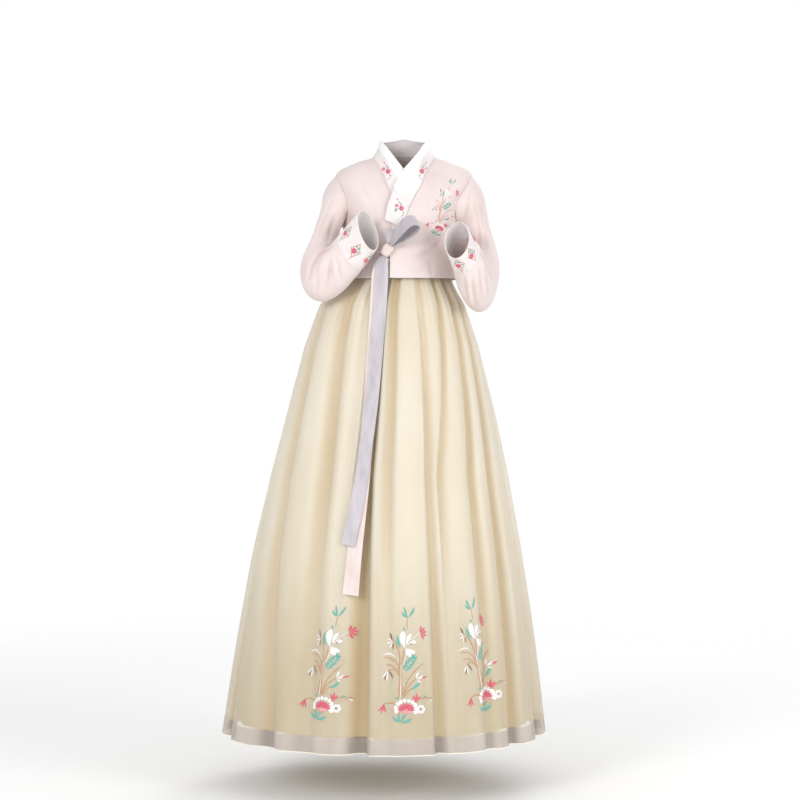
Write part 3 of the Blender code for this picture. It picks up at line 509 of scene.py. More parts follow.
def crease_depth(p, n, table):
    """How far the creases push each point in, in metres."""
    total = np.zeros(p.shape[:-1])
    for x1, z1, x2, z2, deep, wide, side in table:
        start, run = np.array((x1, z1)), np.array((x2 - x1, z2 - z1))
        offset = p[..., (0, 2)] - start
        along = np.clip((offset @ run) / (run @ run), 0, 1)
        away = np.linalg.norm(offset - along[..., None] * run, axis=-1)
        wide *= CREASE_WIDTH
        taper = 0.35 + 0.65 * np.sin(np.pi * np.clip(along, 0.02, 0.98)) ** 0.6
        facing = np.clip(2.2 * side * n[..., 1], 0, 1)
        total += CREASE_SCALE * deep / 1000 * taper * facing * np.exp(-(away * 1000 / wide) ** 2)
    return total


def flow(p, scale, seed):
    """Gentle, smooth unevenness between -1 and 1."""
    a, b, c = p[..., 0] * scale, p[..., 1] * scale, p[..., 2] * scale
    across = np.sin(a * 1.7 + 1.3 * np.sin(c * 1.1 + seed) + seed)
    deep = np.sin(b * 1.9 + 1.1 * np.sin(a * 0.9) + 2.1 * seed)
    down = np.sin(c * 1.3 + 1.2 * np.sin(b * 1.4 + seed) + 3.7 * seed)
    return (across * deep + down) / 2


def arc_lengths(p, axis):
    """Distance walked along the grid to each of its points."""
    step = np.linalg.norm(np.diff(p, axis=axis), axis=-1)
    start = np.zeros_like(np.take(step, [0], axis))
    return np.concatenate([start, np.cumsum(step, axis)], axis)


def shell(name, p, n, paint, thick=SHELL, closed=False):
    """A thin wall of cloth from a grid of outer points, with its weave laid out in metres."""
    rows, columns = p.shape[:2]
    inner = p - n * thick
    points = np.concatenate([p.reshape(-1, 3), inner.reshape(-1, 3)])
    wrapped = np.concatenate([p, p[:, :1]], 1) if closed else p
    across = arc_lengths(wrapped, 1)
    across = across - across[:, across.shape[1] // 2][:, None]
    down = np.broadcast_to(arc_lengths(wrapped, 0).mean(1)[:, None], across.shape)
    r = np.arange(rows - 1)[:, None]
    c = np.arange(columns if closed else columns - 1)[None]
    r, c = (k.ravel() for k in np.broadcast_arrays(r, c))
    corners = ((r, c), (r, c + 1), (r + 1, c + 1), (r + 1, c))
    vertex = [a * columns + b % columns for a, b in corners]
    place = [np.stack([across[a, b], down[a, b]], -1) for a, b in corners]
    half = rows * columns
    faces = [np.stack(vertex, -1), np.stack(vertex[::-1], -1) + half]
    layout = [np.stack(place, 1), np.stack(place[::-1], 1)]
    edges = []
    wide = np.arange(columns if closed else columns - 1)
    edges.append((np.stack([0 * wide, wide], -1), np.stack([0 * wide, wide + 1], -1), True))
    last = 0 * wide + rows - 1
    edges.append((np.stack([last, wide], -1), np.stack([last, wide + 1], -1), False))
    if not closed:
        tall = np.arange(rows - 1)
        edges.append((np.stack([tall, 0 * tall], -1), np.stack([tall + 1, 0 * tall], -1), False))
        end = 0 * tall + columns - 1
        edges.append((np.stack([tall, end], -1), np.stack([tall + 1, end], -1), True))
    for a, b, turned in edges:
        va, vb = (k[:, 0] * columns + k[:, 1] % columns for k in (a, b))
        quad = np.stack([va, va + half, vb + half, vb] if turned else [va, vb, vb + half, va + half], -1)
        ua = np.stack([across[a[:, 0], a[:, 1]], down[a[:, 0], a[:, 1]]], -1)
        ub = np.stack([across[b[:, 0], b[:, 1]], down[b[:, 0], b[:, 1]]], -1)
        faces.append(quad)
        layout.append(np.stack([ua, ua, ub, ub] if turned else [ua, ub, ub, ua], 1))
    return mesh_piece(name, points, np.concatenate(faces), paint, np.concatenate(layout))


def mesh_piece(name, points, faces, paint, layout=None, soft_degrees=50):
    """A named piece from points and faces, riding on the root body and its paint."""
    mesh = bpy.data.meshes.new(name)
    mesh.from_pydata(np.asarray(points).tolist(), [], np.asarray(faces).tolist())
    if layout is not None:
        mesh.uv_layers.new(name="cloth").data.foreach_set("uv", layout.reshape(-1))
    mesh.shade_smooth()
    mesh.set_sharp_from_angle(angle=math.radians(soft_degrees))
    mesh.update()
    piece = bpy.data.objects.new(name, mesh)
    bpy.context.scene.collection.objects.link(piece)
    mesh.materials.append(paint)
    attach(piece, "root")
    return piece


def mark_fold_shade(piece, share):
    """Notes how deep in a fold each point of a shell lies, from 0 to 1, for the painted shade in its folds.
    """
    both = np.tile(np.clip(share, 0, 1).ravel(), 2).astype(np.float32)
    piece.data.attributes.new("fold", "FLOAT", "POINT").data.foreach_set("value", both)


def cloth(name, surface, u, v, paint, lift=0.0, creases=None, closed=False, flows=0.0004, thick=SHELL):
    """A shell on surface(u, v), moved out by lift and pressed in by its creases."""
    p, n = surface(u, v), normals(surface, u, v)
    lift = np.broadcast_to(np.asarray(lift, float), u.shape) + flows * flow(p, 55, len(name))
    deep = 0 * lift if creases is None else crease_depth(p, n, creases)
    p = p + n * (lift - deep)[..., None]
    piece = shell(name, p, grid_normals(p, n, closed), paint, thick, closed)
    # The creases' depth sets their painted shade.
    if creases is not None:
        mark_fold_shade(piece, deep / CREASE_SHADE_FULL)
    return piece, p


def grid_normals(p, like, closed=False):
    """Unit normals of a grid of points, on the same side as like."""
    along = np.roll(p, -1, 1) - np.roll(p, 1, 1) if closed else np.gradient(p, axis=1)
    n = np.cross(along, np.gradient(p, axis=0))
    n /= np.maximum(np.linalg.norm(n, axis=-1), 1e-12)[..., None]
    return n * np.where((n * like).sum(-1) < 0, -1, 1)[..., None]


def piping(name, line, paint, radius=HEM_ROLL, closed=False, sides=8):
    """A narrow round edge along a line of points, such as a rolled hem."""
    line = np.asarray(line)
    run = np.roll(line, -1, 0) - np.roll(line, 1, 0) if closed else np.gradient(line, axis=0)
    run /= np.linalg.norm(run, axis=1)[:, None]
    up = np.array((0.13, 0.21, 0.97))
    one = np.cross(run, up)
    one /= np.linalg.norm(one, axis=1)[:, None]
    two = np.cross(run, one)
    turn = np.arange(sides) * 2 * np.pi / sides
    spoke = np.cos(turn)[:, None] * one[:, None] + np.sin(turn)[:, None] * two[:, None]
    points = line[:, None] + radius * spoke
    rows = len(line)
    r = np.arange(rows if closed else rows - 1)[:, None]
    c = np.arange(sides)[None]
    at = lambda a, b: (a % rows) * sides + b % sides
    faces = np.stack([at(r, c), at(r, c + 1), at(r + 1, c + 1), at(r + 1, c)], -1).reshape(-1, 4)
    return mesh_piece(name, points.reshape(-1, 3), faces, paint)


# Colours as seen, in sRGB: each cloth and its deeper tone. Some of these tones are painted shade, as marked
# below.
SEEN = {
    # On the next line the jacket's fold tones are painted shade in its creases and along its seams.
    "pink": "#E9DBD9", "pink_deep": "#DFCECB", "pink_shade": "#D9C2BC", "pink_shade_deep": "#CFB5AE",
    "white": "#F1EAEA", "white_deep": "#E5DCDC",
    "strip": "#FCFCFD", "strip_deep": "#F1F0F2", "grey": "#C6C0C6", "grey_deep": "#AEA8AF",
    "tie_pink": "#E9DAD6", "tie_pink_deep": "#D9C5C0", "organza": "#FBF5E8", "organza_deep": "#F4EBD6",
    # The sheer tones on the next line and the sheer fold tones below it are painted shade: the skirt's shaded
    # inside seen through its hem, deeper in the folds.
    "sheer": "#C9BDB0", "sheer_deep": "#B5A899", "lining": "#F6EDD8", "lining_deep": "#EBDDBC",
    "sheer_fold_shade": "#9A8B7C", "sheer_fold_shade_deep": "#86776A",
    # The valley tones are painted shade in the skirt's folds; the low tones are painted shade towards its
    # hem.
    "valley_shade": "#DCC497", "valley_shade_deep": "#CFB582", "low": "#D3C5A7", "low_deep": "#C6B691",
    "piped": "#F6ECEA", "piped_deep": "#E8D6D2", "floor": "#F7F7F7",
    # Each floss colour's deeper tone, here and on the lines below, is painted shade between its stitches.
    "teal": "#74C6B9", "teal_deep": "#2C8478", "rose": "#E4657F", "rose_deep": "#BC3A59", "blush": "#F3AAAE",
    "blush_deep": "#E0838D", "floss": "#FAF8F7", "floss_deep": "#CFC6C4",
    "tan": "#D19C70", "tan_deep": "#A06F48",
    "brown": "#8A6748", "brown_deep": "#5F4330",
}
FOLD_SHADE_FULL = ((0.25, 0.45, 0.75, -SKIRT_HEM), (0.010, 0.013, 0.019, 0.026))   # down from the collar; the fold depth that takes the full painted shade
GATHER_SHADE = 0.3                # how much of the painted fold shade the fine gathers take
ORGANZA_OPACITY = 0.42          # of one face; the light passes two
SHEER_OPACITY = 0.62            # below the lining's hem, where nothing is behind
FOLD_SHADE = (0.15, 1.0, 0.0, 0.66)   # where a fold's painted shade starts and is full, and its least and most share
LOW_SHADE_FROM, LOW_SHADE = -0.74, 0.72   # the height where the painted shade towards the hem starts, and its share there
THREAD, ORGANZA_THREAD, RIB = 0.0005, 0.0004, 0.0009   # spacing of the threads, in metres


def seen(name):
    parts = [int(SEEN[name][k:k + 2], 16) / 255 for k in (1, 3, 5)]
    return (*[c / 12.92 if c < 0.04045 else ((c + 0.055) / 1.055) ** 2.4 for c in parts], 1.0)


def new_paint(name):
    made = bpy.data.materials.new(name)
    made.use_nodes = True
    return made, made.node_tree.nodes, made.node_tree.links, made.node_tree.nodes["Principled BSDF"]


def threads(nodes, links, direction, spacing, wander):
    """A set of parallel threads in the cloth's own layout."""
    place = nodes.new("ShaderNodeUVMap")
    place.uv_map = "cloth"
    wave = nodes.new("ShaderNodeTexWave")
    wave.bands_direction = direction
    wave.inputs["Scale"].default_value = math.pi / (10 * spacing)
    wave.inputs["Distortion"].default_value = wander
    wave.inputs["Detail"].default_value = 1.0
    links.new(place.outputs["UV"], wave.inputs["Vector"])
    return wave


def two_tones(nodes, links, value, colour, low=0.25, high=0.62):
    ramp = nodes.new("ShaderNodeValToRGB")
    for end, at, tone in zip(ramp.color_ramp.elements, (low, high), (colour + "_deep", colour)):
        end.position, end.color = at, seen(tone)
    links.new(value, ramp.inputs["Fac"])
    return ramp


def raised(nodes, links, value, strength, distance, under=None):
    bump = nodes.new("ShaderNodeBump")
    bump.inputs["Strength"].default_value = strength
    bump.inputs["Distance"].default_value = distance
    links.new(value, bump.inputs["Height"])
    if under:
        links.new(under.outputs["Normal"], bump.inputs["Normal"])
    return bump


def cloth_paint(name, colour, spacing=THREAD, rib=None, rough=0.62, sheen=0.3, mottle=20.0, streak=1.0,
                fold=None, shaded_to_hem=False, sheer=False):
    """Woven cloth: two sets of threads in relief and gentle unevenness of colour. streak under 1 draws
    the unevenness out down the cloth. The fold colour is painted shade deep in a fold. A hanging cloth can
    get painted shade deepening towards its hem. A sheer cloth lets part of the light through and gets painted
    shade below the lining."""
    made, nodes, links, shader = new_paint(name)
    warp = threads(nodes, links, "X", spacing, 0.6)
    weft = threads(nodes, links, "Y", rib or spacing, 0.6)
    weave = nodes.new("ShaderNodeMath")
    weave.operation = "MAXIMUM" if rib else "MULTIPLY"
    links.new(warp.outputs["Fac"], weave.inputs[0])
    links.new(weft.outputs["Fac"], weave.inputs[1])
    spot = nodes.new("ShaderNodeTexCoord")
    stretch = nodes.new("ShaderNodeMapping")
    stretch.inputs["Scale"].default_value = (1.0, 1.0, streak)
    links.new(spot.outputs["Object"], stretch.inputs["Vector"])
    cloud = nodes.new("ShaderNodeTexNoise")
    cloud.inputs["Scale"].default_value = mottle
    cloud.inputs["Detail"].default_value = 4.0
    links.new(stretch.outputs["Vector"], cloud.inputs["Vector"])
    tint = nodes.new("ShaderNodeMix")
    tint.data_type, tint.blend_type = "RGBA", "MULTIPLY"
    tint.inputs["Factor"].default_value = 0.08
    links.new(two_tones(nodes, links, cloud.outputs["Fac"], colour).outputs["Color"], tint.inputs["A"])
    links.new(weave.outputs["Value"], tint.inputs["B"])
    result = tint.outputs["Result"]
    # Painted shade that deepens towards the hem.
    if shaded_to_hem:
        result = low_shade(nodes, links, spot, cloud, result)
    # Painted shade deep in the folds.
    if fold:
        share = between(nodes, links, fold_shade_mask(nodes), *FOLD_SHADE)
        deep = two_tones(nodes, links, cloud.outputs["Fac"], fold).outputs["Color"]
        result = mixed(nodes, links, share, result, deep)
    # Painted shade on the sheer hem below the lining.
    if sheer:
        result = sheer_hem_shade(nodes, links, spot, cloud, result, shader)
    links.new(result, shader.inputs["Base Color"])
    soft = raised(nodes, links, cloud.outputs["Fac"], 0.2, 0.001)
    fine = raised(nodes, links, weave.outputs["Value"], 0.35, 0.0002, soft)
    links.new(fine.outputs["Normal"], shader.inputs["Normal"])
    shader.inputs["Roughness"].default_value = rough
    shader.inputs["Sheen Weight"].default_value = sheen
    shader.inputs["Sheen Roughness"].default_value = 0.45
    shader.inputs["Specular IOR Level"].default_value = 0.25
    return made


def between(nodes, links, value, start, end, low=0.0, high=1.0):
    """The share of the way from start to end that a value has come, spread from low to high."""
    share = nodes.new("ShaderNodeMapRange")
    share.interpolation_type = "SMOOTHSTEP"
    for socket, number in (("From Min", start), ("From Max", end), ("To Min", low), ("To Max", high)):
        share.inputs[socket].default_value = number
    links.new(value, share.inputs["Value"])
    return share.outputs["Result"]


def mixed(nodes, links, factor, first, second):
    change = nodes.new("ShaderNodeMix")
    change.data_type = "RGBA"
    links.new(factor, change.inputs["Factor"])
    links.new(first, change.inputs["A"])
    links.new(second, change.inputs["B"])
    return change.outputs["Result"]


def fold_shade_mask(nodes):
    """How deep in a fold the cloth is, from 0 to 1, which sets the painted shade there."""
    depth = nodes.new("ShaderNodeAttribute")
    depth.attribute_name = "fold"
    return depth.outputs["Fac"]


# Painted shade that deepens from a set height down to the skirt's hem.
def low_shade(nodes, links, spot, cloud, result):
    height = nodes.new("ShaderNodeSeparateXYZ")
    links.new(spot.outputs["Object"], height.inputs["Vector"])
    lower = between(nodes, links, height.outputs["Z"], LOW_SHADE_FROM, SKIRT_HEM, high=LOW_SHADE)
    low = two_tones(nodes, links, cloud.outputs["Fac"], "low")
    return mixed(nodes, links, lower, result, low.outputs["Color"])


def sheer_hem_shade(nodes, links, spot, cloud, result, shader):
    """Below the lining the sheer cloth has nothing bright behind it: painted shade makes it darker there,
    darker still in its folds, and it is made closer.
    """
    height = nodes.new("ShaderNodeSeparateXYZ")
    links.new(spot.outputs["Object"], height.inputs["Vector"])
    below = between(nodes, links, height.outputs["Z"], LINING_HEM + HEM_BLUR, LINING_HEM - HEM_BLUR)
    # Painted shade for the skirt's shaded inside seen through the hem, deeper in its folds.
    low = two_tones(nodes, links, cloud.outputs["Fac"], "sheer").outputs["Color"]
    deep = two_tones(nodes, links, cloud.outputs["Fac"], "sheer_fold_shade").outputs["Color"]
    low = mixed(nodes, links, between(nodes, links, fold_shade_mask(nodes), 0.05, 0.8), low, deep)
    shown = mixed(nodes, links, below, result, low)
    cover = between(nodes, links, below, 0, 1, ORGANZA_OPACITY, SHEER_OPACITY)
    links.new(cover, shader.inputs["Alpha"])
    return shown


def thread_paint(name):
    """Satin-stitched floss: fine ridges in relief across each stitched shape, lit colour on the ridges and
    painted shade in the grooves between them.
    """
    made, nodes, links, shader = new_paint(name + "_floss")
    wave = threads(nodes, links, "X", FLOSS, 1.2)
    # Painted shade in the grooves between stitches.
    links.new(two_tones(nodes, links, wave.outputs["Fac"], name, 0.0, 0.75).outputs["Color"],
              shader.inputs["Base Color"])
    bump = raised(nodes, links, wave.outputs["Fac"], 0.5, 0.0003)
    links.new(bump.outputs["Normal"], shader.inputs["Normal"])
    shader.inputs["Roughness"].default_value = 0.42
    shader.inputs["Sheen Weight"].default_value = 0.25
    return made


LINING_HEM = SKIRT_HEM + LINING_RISE
HEM_BLUR = 0.0015                                  # the tone changes this far above and below that hem
FLOSS = 0.0006                                     # spacing of the stitches
PAINT = {
    # The jacket's fold colour is painted shade in its creases; the seams take the same painted shade.
    "pink": cloth_paint("jacket_cloth", "pink", mottle=11.0, fold="pink_shade"),
    "seam": cloth_paint("jacket_seam_shade_cloth", "pink_shade", mottle=60.0),
    "white": cloth_paint("trim_cloth", "white", mottle=24.0, sheen=0.25),
    "strip": cloth_paint("collar_strip_cloth", "strip", mottle=24.0, sheen=0.2, rough=0.55),
    "grey": cloth_paint("grey_tie_cloth", "grey", rib=RIB, rough=0.5, mottle=60.0, streak=0.12),
    "tie_pink": cloth_paint("pink_tie_cloth", "tie_pink", rough=0.5, mottle=50.0, streak=0.12),
    # The organza and the lining get painted shade in their folds and towards the hem.
    "organza": cloth_paint("skirt_organza", "organza", ORGANZA_THREAD, rough=0.42, sheen=0.5, mottle=14.0,
                           streak=0.12, fold="valley_shade", shaded_to_hem=True, sheer=True),
    "hem": cloth_paint("skirt_hem_cloth", "organza", ORGANZA_THREAD, rough=0.45, mottle=60.0),
    "lining": cloth_paint("skirt_lining_cloth", "lining", mottle=9.0, streak=0.2, fold="valley_shade", shaded_to_hem=True),
    "edge": cloth_paint("piped_edge_cloth", "piped", mottle=60.0, sheen=0.2),
}


def body_rings():
    middle = (UNDERARM + SHOULDER) / 2
    return np.concatenate([np.linspace(0, UNDERARM, 24)[:-1], middle - np.cos(np.linspace(0, np.pi, 41)),
                           np.linspace(SHOULDER, FRONT_TOP, 24)[1:]])


def front_edge(rows, ring):
    return curve(rows[:, None], np.interp(ring, EDGE_RINGS, np.arange(len(EDGE_RINGS))))[:, 0]


def make_jacket():
    ring = body_rings()
    hole = armhole(ring)
    left_edge, right_edge = front_edge(LEFT_FRONT_EDGE, ring), front_edge(RIGHT_FRONT_EDGE, ring)
    grids = {}
    for name, node, start, end, steps in (
            ("jacket_front_left", "front_left", left_edge, 90 - hole, 61),
            ("jacket_front_right", "front_right", hole - 90, right_edge, 61),
            ("jacket_back", "back", 90 + hole, 270 - hole, 97)):
        u = start[:, None] + (end - start)[:, None] * np.linspace(0, 1, steps)
        v = np.broadcast_to(ring[:, None], u.shape)
        lap = wrap_lift(u) if node == "front_left" else 0.0
        piece, grids[node] = cloth(name, jacket, u, v, PAINT["pink"], lap, JACKET_CREASES)
        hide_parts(node)
        hem = grids[node][0] + np.array((0, 0, JACKET_HEM_RISE))
        piping(name + "_hem", hem, PAINT["edge"])
    piping("jacket_front_edge", grids["front_left"][ring < 3.2, 0], PAINT["edge"])
    for name, node, column in (("left_front", "front_left", -1), ("left_back", "back", 0),
                               ("right_front", "front_right", 0), ("right_back", "back", -1)):
        for part, rows in (("armhole", (ring >= UNDERARM) & (ring <= SHOULDER)), ("side", ring <= UNDERARM),
                           ("shoulder", ring >= SHOULDER)):
            if part == "armhole" or node != "back":
                line = grids[node][rows, column]
                piping(f"seam_{name}_{part}", line, PAINT["seam"], SEAM_RIDGE)


def make_collar():
    for name, node, paint, share, lift, (start, stop) in (
            ("jacket_collar", "collar", "white", np.linspace(0, 1, 15), COLLAR_LIFT, COLLAR_ENDS),
            ("jacket_collar_strip", "collar_strip", "strip", np.linspace(COLLAR_STRIP_FROM, 1, 8), STRIP_LIFT,
             STRIP_ENDS)):
        angles, rings, back = collar_grid(share)
        along = np.linspace(start, len(angles) - stop - 0.5, 150)
        u, v = curve(angles, along), np.minimum(curve(rings, along), COLLAR_EDGE)
        lap = np.where((along > back)[:, None], wrap_lift(u), 0.0)
        to_edge = np.minimum(share - share[0], share[-1] - share)
        rounded = COLLAR_ROUND * (np.clip(to_edge / 0.08, 0, 1) ** 0.5 - 1)
        piece, _ = cloth(name, jacket, u, v, PAINT[paint], lap + lift + rounded, flows=0.0002)
        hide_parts(node)


def tube_grid(around, section):
    return [np.array(k) for k in np.broadcast_arrays(around, section[:, None])]


def make_sleeve(side_name, rows, side, creases):
    surface = lambda around, section: sleeve(rows, side, around, section)
    around = np.arange(SLEEVE_SIDES) * 360.0 / SLEEVE_SIDES
    near, far = np.linspace(0, 0.7, 14)[:-1], np.linspace(0.7, CUFF_FROM + 0.2, 122)
    u, v = tube_grid(around, np.concatenate([near, far]))
    outward = outward_sign(surface)
    p, n = surface(u, v), normals(surface, u, v, outward)
    ends = smooth(v / 0.8) * smooth((CUFF_FROM - v) / 0.7)
    deep = crease_depth(p, n, creases) * ends
    lift = 0.0008 * flow(p, 60, 1.0 + side) * ends - deep
    p = p + n * lift[..., None]
    flip = slice(None) if winding(p, n) > 0 else slice(None, None, -1)
    body = shell("jacket_sleeve_" + side_name, p[:, flip], grid_normals(p, n, True)[:, flip],
                 PAINT["pink"], closed=True)
    # Painted shade in the sleeve's creases, by their depth.
    mark_fold_shade(body, deep[:, flip] / CREASE_SHADE_FULL)
    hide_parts("sleeve_" + side_name)
    u, v = tube_grid(around, np.linspace(CUFF_FROM, len(rows), 30))
    p, n = surface(u, v), normals(surface, u, v, outward)
    ends = np.clip(np.minimum(v - CUFF_FROM, len(rows) - v) / CUFF_EDGE, 0, 1) ** 0.5
    p = p + n * (CUFF_LIFT - CUFF_THINNING * (1 - ends) + 0.0004 * flow(p, 70, 2.0))[..., None]
    cuff = shell("jacket_cuff_" + side_name, p[:, flip], grid_normals(p, n, True)[:, flip],
                 PAINT["white"], CUFF_CLOTH, True)
    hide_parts("cuff_" + side_name)


def gathers(angle, z):
    """How far the fine gathers under the band press the skirt in, from 0 to 1."""
    a = np.radians(angle)
    fade = smooth((z - PLEAT_FADE_TO) / (PLEAT_FADE_FROM - PLEAT_FADE_TO)) * smooth((SKIRT_TOP - z) / 0.03)
    turn = a * PLEATS + 1.7 * np.sin(a * 5) + 1.1 * np.sin(a * 11 + 2)
    return fade * (0.5 + 0.5 * np.sin(turn)) ** 1.5


def gathered_skirt(angle, z):
    """The skirt's surface with the fine gathers that run down from its band."""
    a = np.radians(angle)
    drop = DRAPE_WAVE * np.sin(a * 31 + 9 * z) * smooth((-0.45 - z) / 0.2)
    inward = -np.stack([np.sin(a), -np.cos(a), 0 * z], -1)
    return skirt(angle, z) + inward * (PLEAT_DEPTH * gathers(angle, z) + drop)[..., None]


def fold_shade_share(angle, z):
    """How deep the skirt lies in its folds, against the deepest ones at that height, for its painted fold
    shade.
    """
    return fold_depth(angle, z) / np.interp(-z, *FOLD_SHADE_FULL) + GATHER_SHADE * gathers(angle, z)


def make_skirt():
    heights = np.concatenate([np.linspace(SKIRT_TOP, -0.40, 34)[:-1], np.linspace(-0.40, SKIRT_HEM, 84)])
    under = np.linspace(SKIRT_TOP, LINING_HEM, 70)
    lining = lambda angle, z: skirt(angle, z, LINING_FOLDED)
    deepest = fold_depth(fold_columns(0, len(FOLD_ROWS), 1, under), under[:, None]).max(1)
    apart = LINING_APART + LINING_PRESSED * deepest
    for panel, first, last in zip(SKIRT_PANELS, SKIRT_SEAMS[:-1], SKIRT_SEAMS[1:]):
        u = fold_columns(first, last, 18, heights)[::-1]
        v = np.broadcast_to(heights[::-1, None], u.shape)
        piece, grid = cloth("panel_skirt_" + panel, gathered_skirt, u, v, PAINT["organza"],
                            flows=0.0, thick=ORGANZA_SHELL)
        # Painted shade in the skirt's folds and gathers.
        mark_fold_shade(piece, fold_shade_share(u, v))
        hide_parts("skirt_" + panel)
        piping("hem_skirt_" + panel, grid[0] + np.array((0, 0, HEM_ROLL)), PAINT["hem"])
        u = fold_columns(first, last, 12, under)[::-1]
        v = np.broadcast_to(under[::-1, None], u.shape)
        piece, _ = cloth("panel_lining_" + panel, lining, u, v, PAINT["lining"],
                         -apart[::-1, None], flows=0.0006)
        # Painted shade in the lining's folds.
        mark_fold_shade(piece, fold_shade_share(u, v))
        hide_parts("lining_" + panel)


def make_band():
    u, v = tube_grid(np.arange(0, 360, 3.0), np.linspace(SKIRT_TOP, BAND_TOP, 12))
    piece, _ = cloth("skirt_chest_band", band, u, v, PAINT["lining"],
                     closed=True, thick=BAND_SHELL)
    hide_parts("skirt_band")


def make_tail(name, node, paint, rows, lift, wave):
    z = np.linspace(rows[0, 1], rows[-1, 1], 120)[:, None]
    fine = curve(rows, np.interp(-z[:, 0], -rows[:, 1], np.arange(len(rows))))
    x, half = fine[:, :1], fine[:, 2:3]
    share = np.linspace(-1, 1, 11)
    lean = np.gradient(x[:, 0], z[:, 0])[:, None]
    lean = lean / np.sqrt(1 + lean ** 2)
    px = x + half * share * np.sqrt(1 - lean ** 2)
    pz = z - half * share * lean
    held = BODY_ROWS[0, 4] + WRAP_LIFT + SKIRT_CLOTH
    sink = TAIL_SINK * smooth((TAIL_SINK_FROM - pz) / TAIL_SINK_OVER)
    reach = front_depth(px, np.minimum(pz, SKIRT_TOP)) - sink
    out = reach + 0.5 * (held - reach + np.sqrt((held - reach) ** 2 + TAIL_EASE ** 2))
    ripple = wave * (0.5 + 0.5 * np.sin(pz * 21 + share * 0.9)) * smooth((-0.27 - pz) / 0.1)
    crease = TIE_CREASE * np.exp(-(share / 0.12) ** 2) * smooth((pz + 0.36) / 0.1)
    p = np.stack([px, -out - lift - SKIRT_CLOTH - ripple + crease, pz], -1)[::-1]
    n = grid_normals(p, np.broadcast_to((0, -1.0, 0), p.shape))
    piece = shell(name, p, n, PAINT[paint])
    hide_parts(node)


def make_knot():
    out = np.array((0, -1.0, 0))
    turn = np.radians(np.arange(0, 360, 7.5))
    square = lambda c: np.sign(c) * np.abs(c) ** KNOT_ROUNDNESS
    wide, deep, long = KNOT_SIZE
    section = (KNOT_ACROSS * (wide * square(np.cos(turn)))[:, None]
               + out * (deep * square(np.sin(turn)))[:, None])
    centre = knot_place()
    rings = []
    for share in np.linspace(-1, 1, 15):
        size = 0.84 + 0.16 * (1 - abs(share) ** 3) + 0.02 * math.sin(share * 9)
        pinch = 1 - 0.05 * np.cos(3 * turn + 2 * share)
        rings.append(centre + KNOT_ALONG * long * share + (size * pinch)[:, None] * section)
    p = np.array(rings)
    n = grid_normals(p, p - p.mean(1, keepdims=True), True)
    flip = slice(None) if winding(p, n) > 0 else slice(None, None, -1)
    piece = shell("tie_knot", p[:, flip], n[:, flip], PAINT["tie_pink"],
                  KNOT_SHELL, True)
    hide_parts("knot")


def facing(p, n):
    """The grid and its normals, with the columns turned round where they would face inwards."""
    middle = len(p) // 2
    along, up = p[middle, 1] - p[middle, 0], p[middle + 1, 0] - p[middle, 0]
    return (p, n) if np.cross(along, up) @ n[middle, 0] > 0 else (p[:, ::-1], n[:, ::-1])


def make_loop():
    along, across, out = loop_axes()
    fine = curve(LOOP_ROWS, np.linspace(0, len(LOOP_ROWS) - 1, 110))
    start = knot_place() + LOOP_START
    share = np.linspace(-1, 1, 13)
    middle = np.array([start + along * f[0] * LOOP_LENGTH + out * f[1] for f in fine])
    face = np.cross(np.gradient(middle, axis=0), across)
    face /= np.linalg.norm(face, axis=1)[:, None]
    if ((middle - middle.mean(0)) * face).sum() < 0:
        face = -face
    width = (fine[:, 2] * LOOP_HALF_WIDTH)[:, None, None]
    crimp = LOOP_CRIMP * np.sin(share * 9)[None] * np.clip(1 - fine[:, :1] * 1.3, 0, 1)
    p = (middle[:, None] + across * width * share[None, :, None]
         - face[:, None] * (LOOP_CRIMP - crimp)[..., None])
    p, n = facing(p, grid_normals(p, np.broadcast_to(face[:, None], p.shape)))
    piece = shell("tie_loop_grey", p, n, PAINT["grey"])
    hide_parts("tie_loop")


def make_base(name, node, paint, rows, lift):
    fine = curve(rows, np.linspace(0, len(rows) - 1, 30))
    run = np.gradient(fine[:, :2], axis=0)
    run /= np.linalg.norm(run, axis=1)[:, None]
    share = np.linspace(-1, 1, 11)
    x = fine[:, :1] - run[:, 1:2] * fine[:, 2:3] * share
    z = fine[:, 1:2] + run[:, :1] * fine[:, 2:3] * share
    u, v = locate(x, z)
    n = normals(jacket, u, v)
    p, n = facing(jacket(u, v) + n * (lift + SKIRT_CLOTH), n)
    piece = shell(name, p, n, PAINT[paint])
    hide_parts(node)


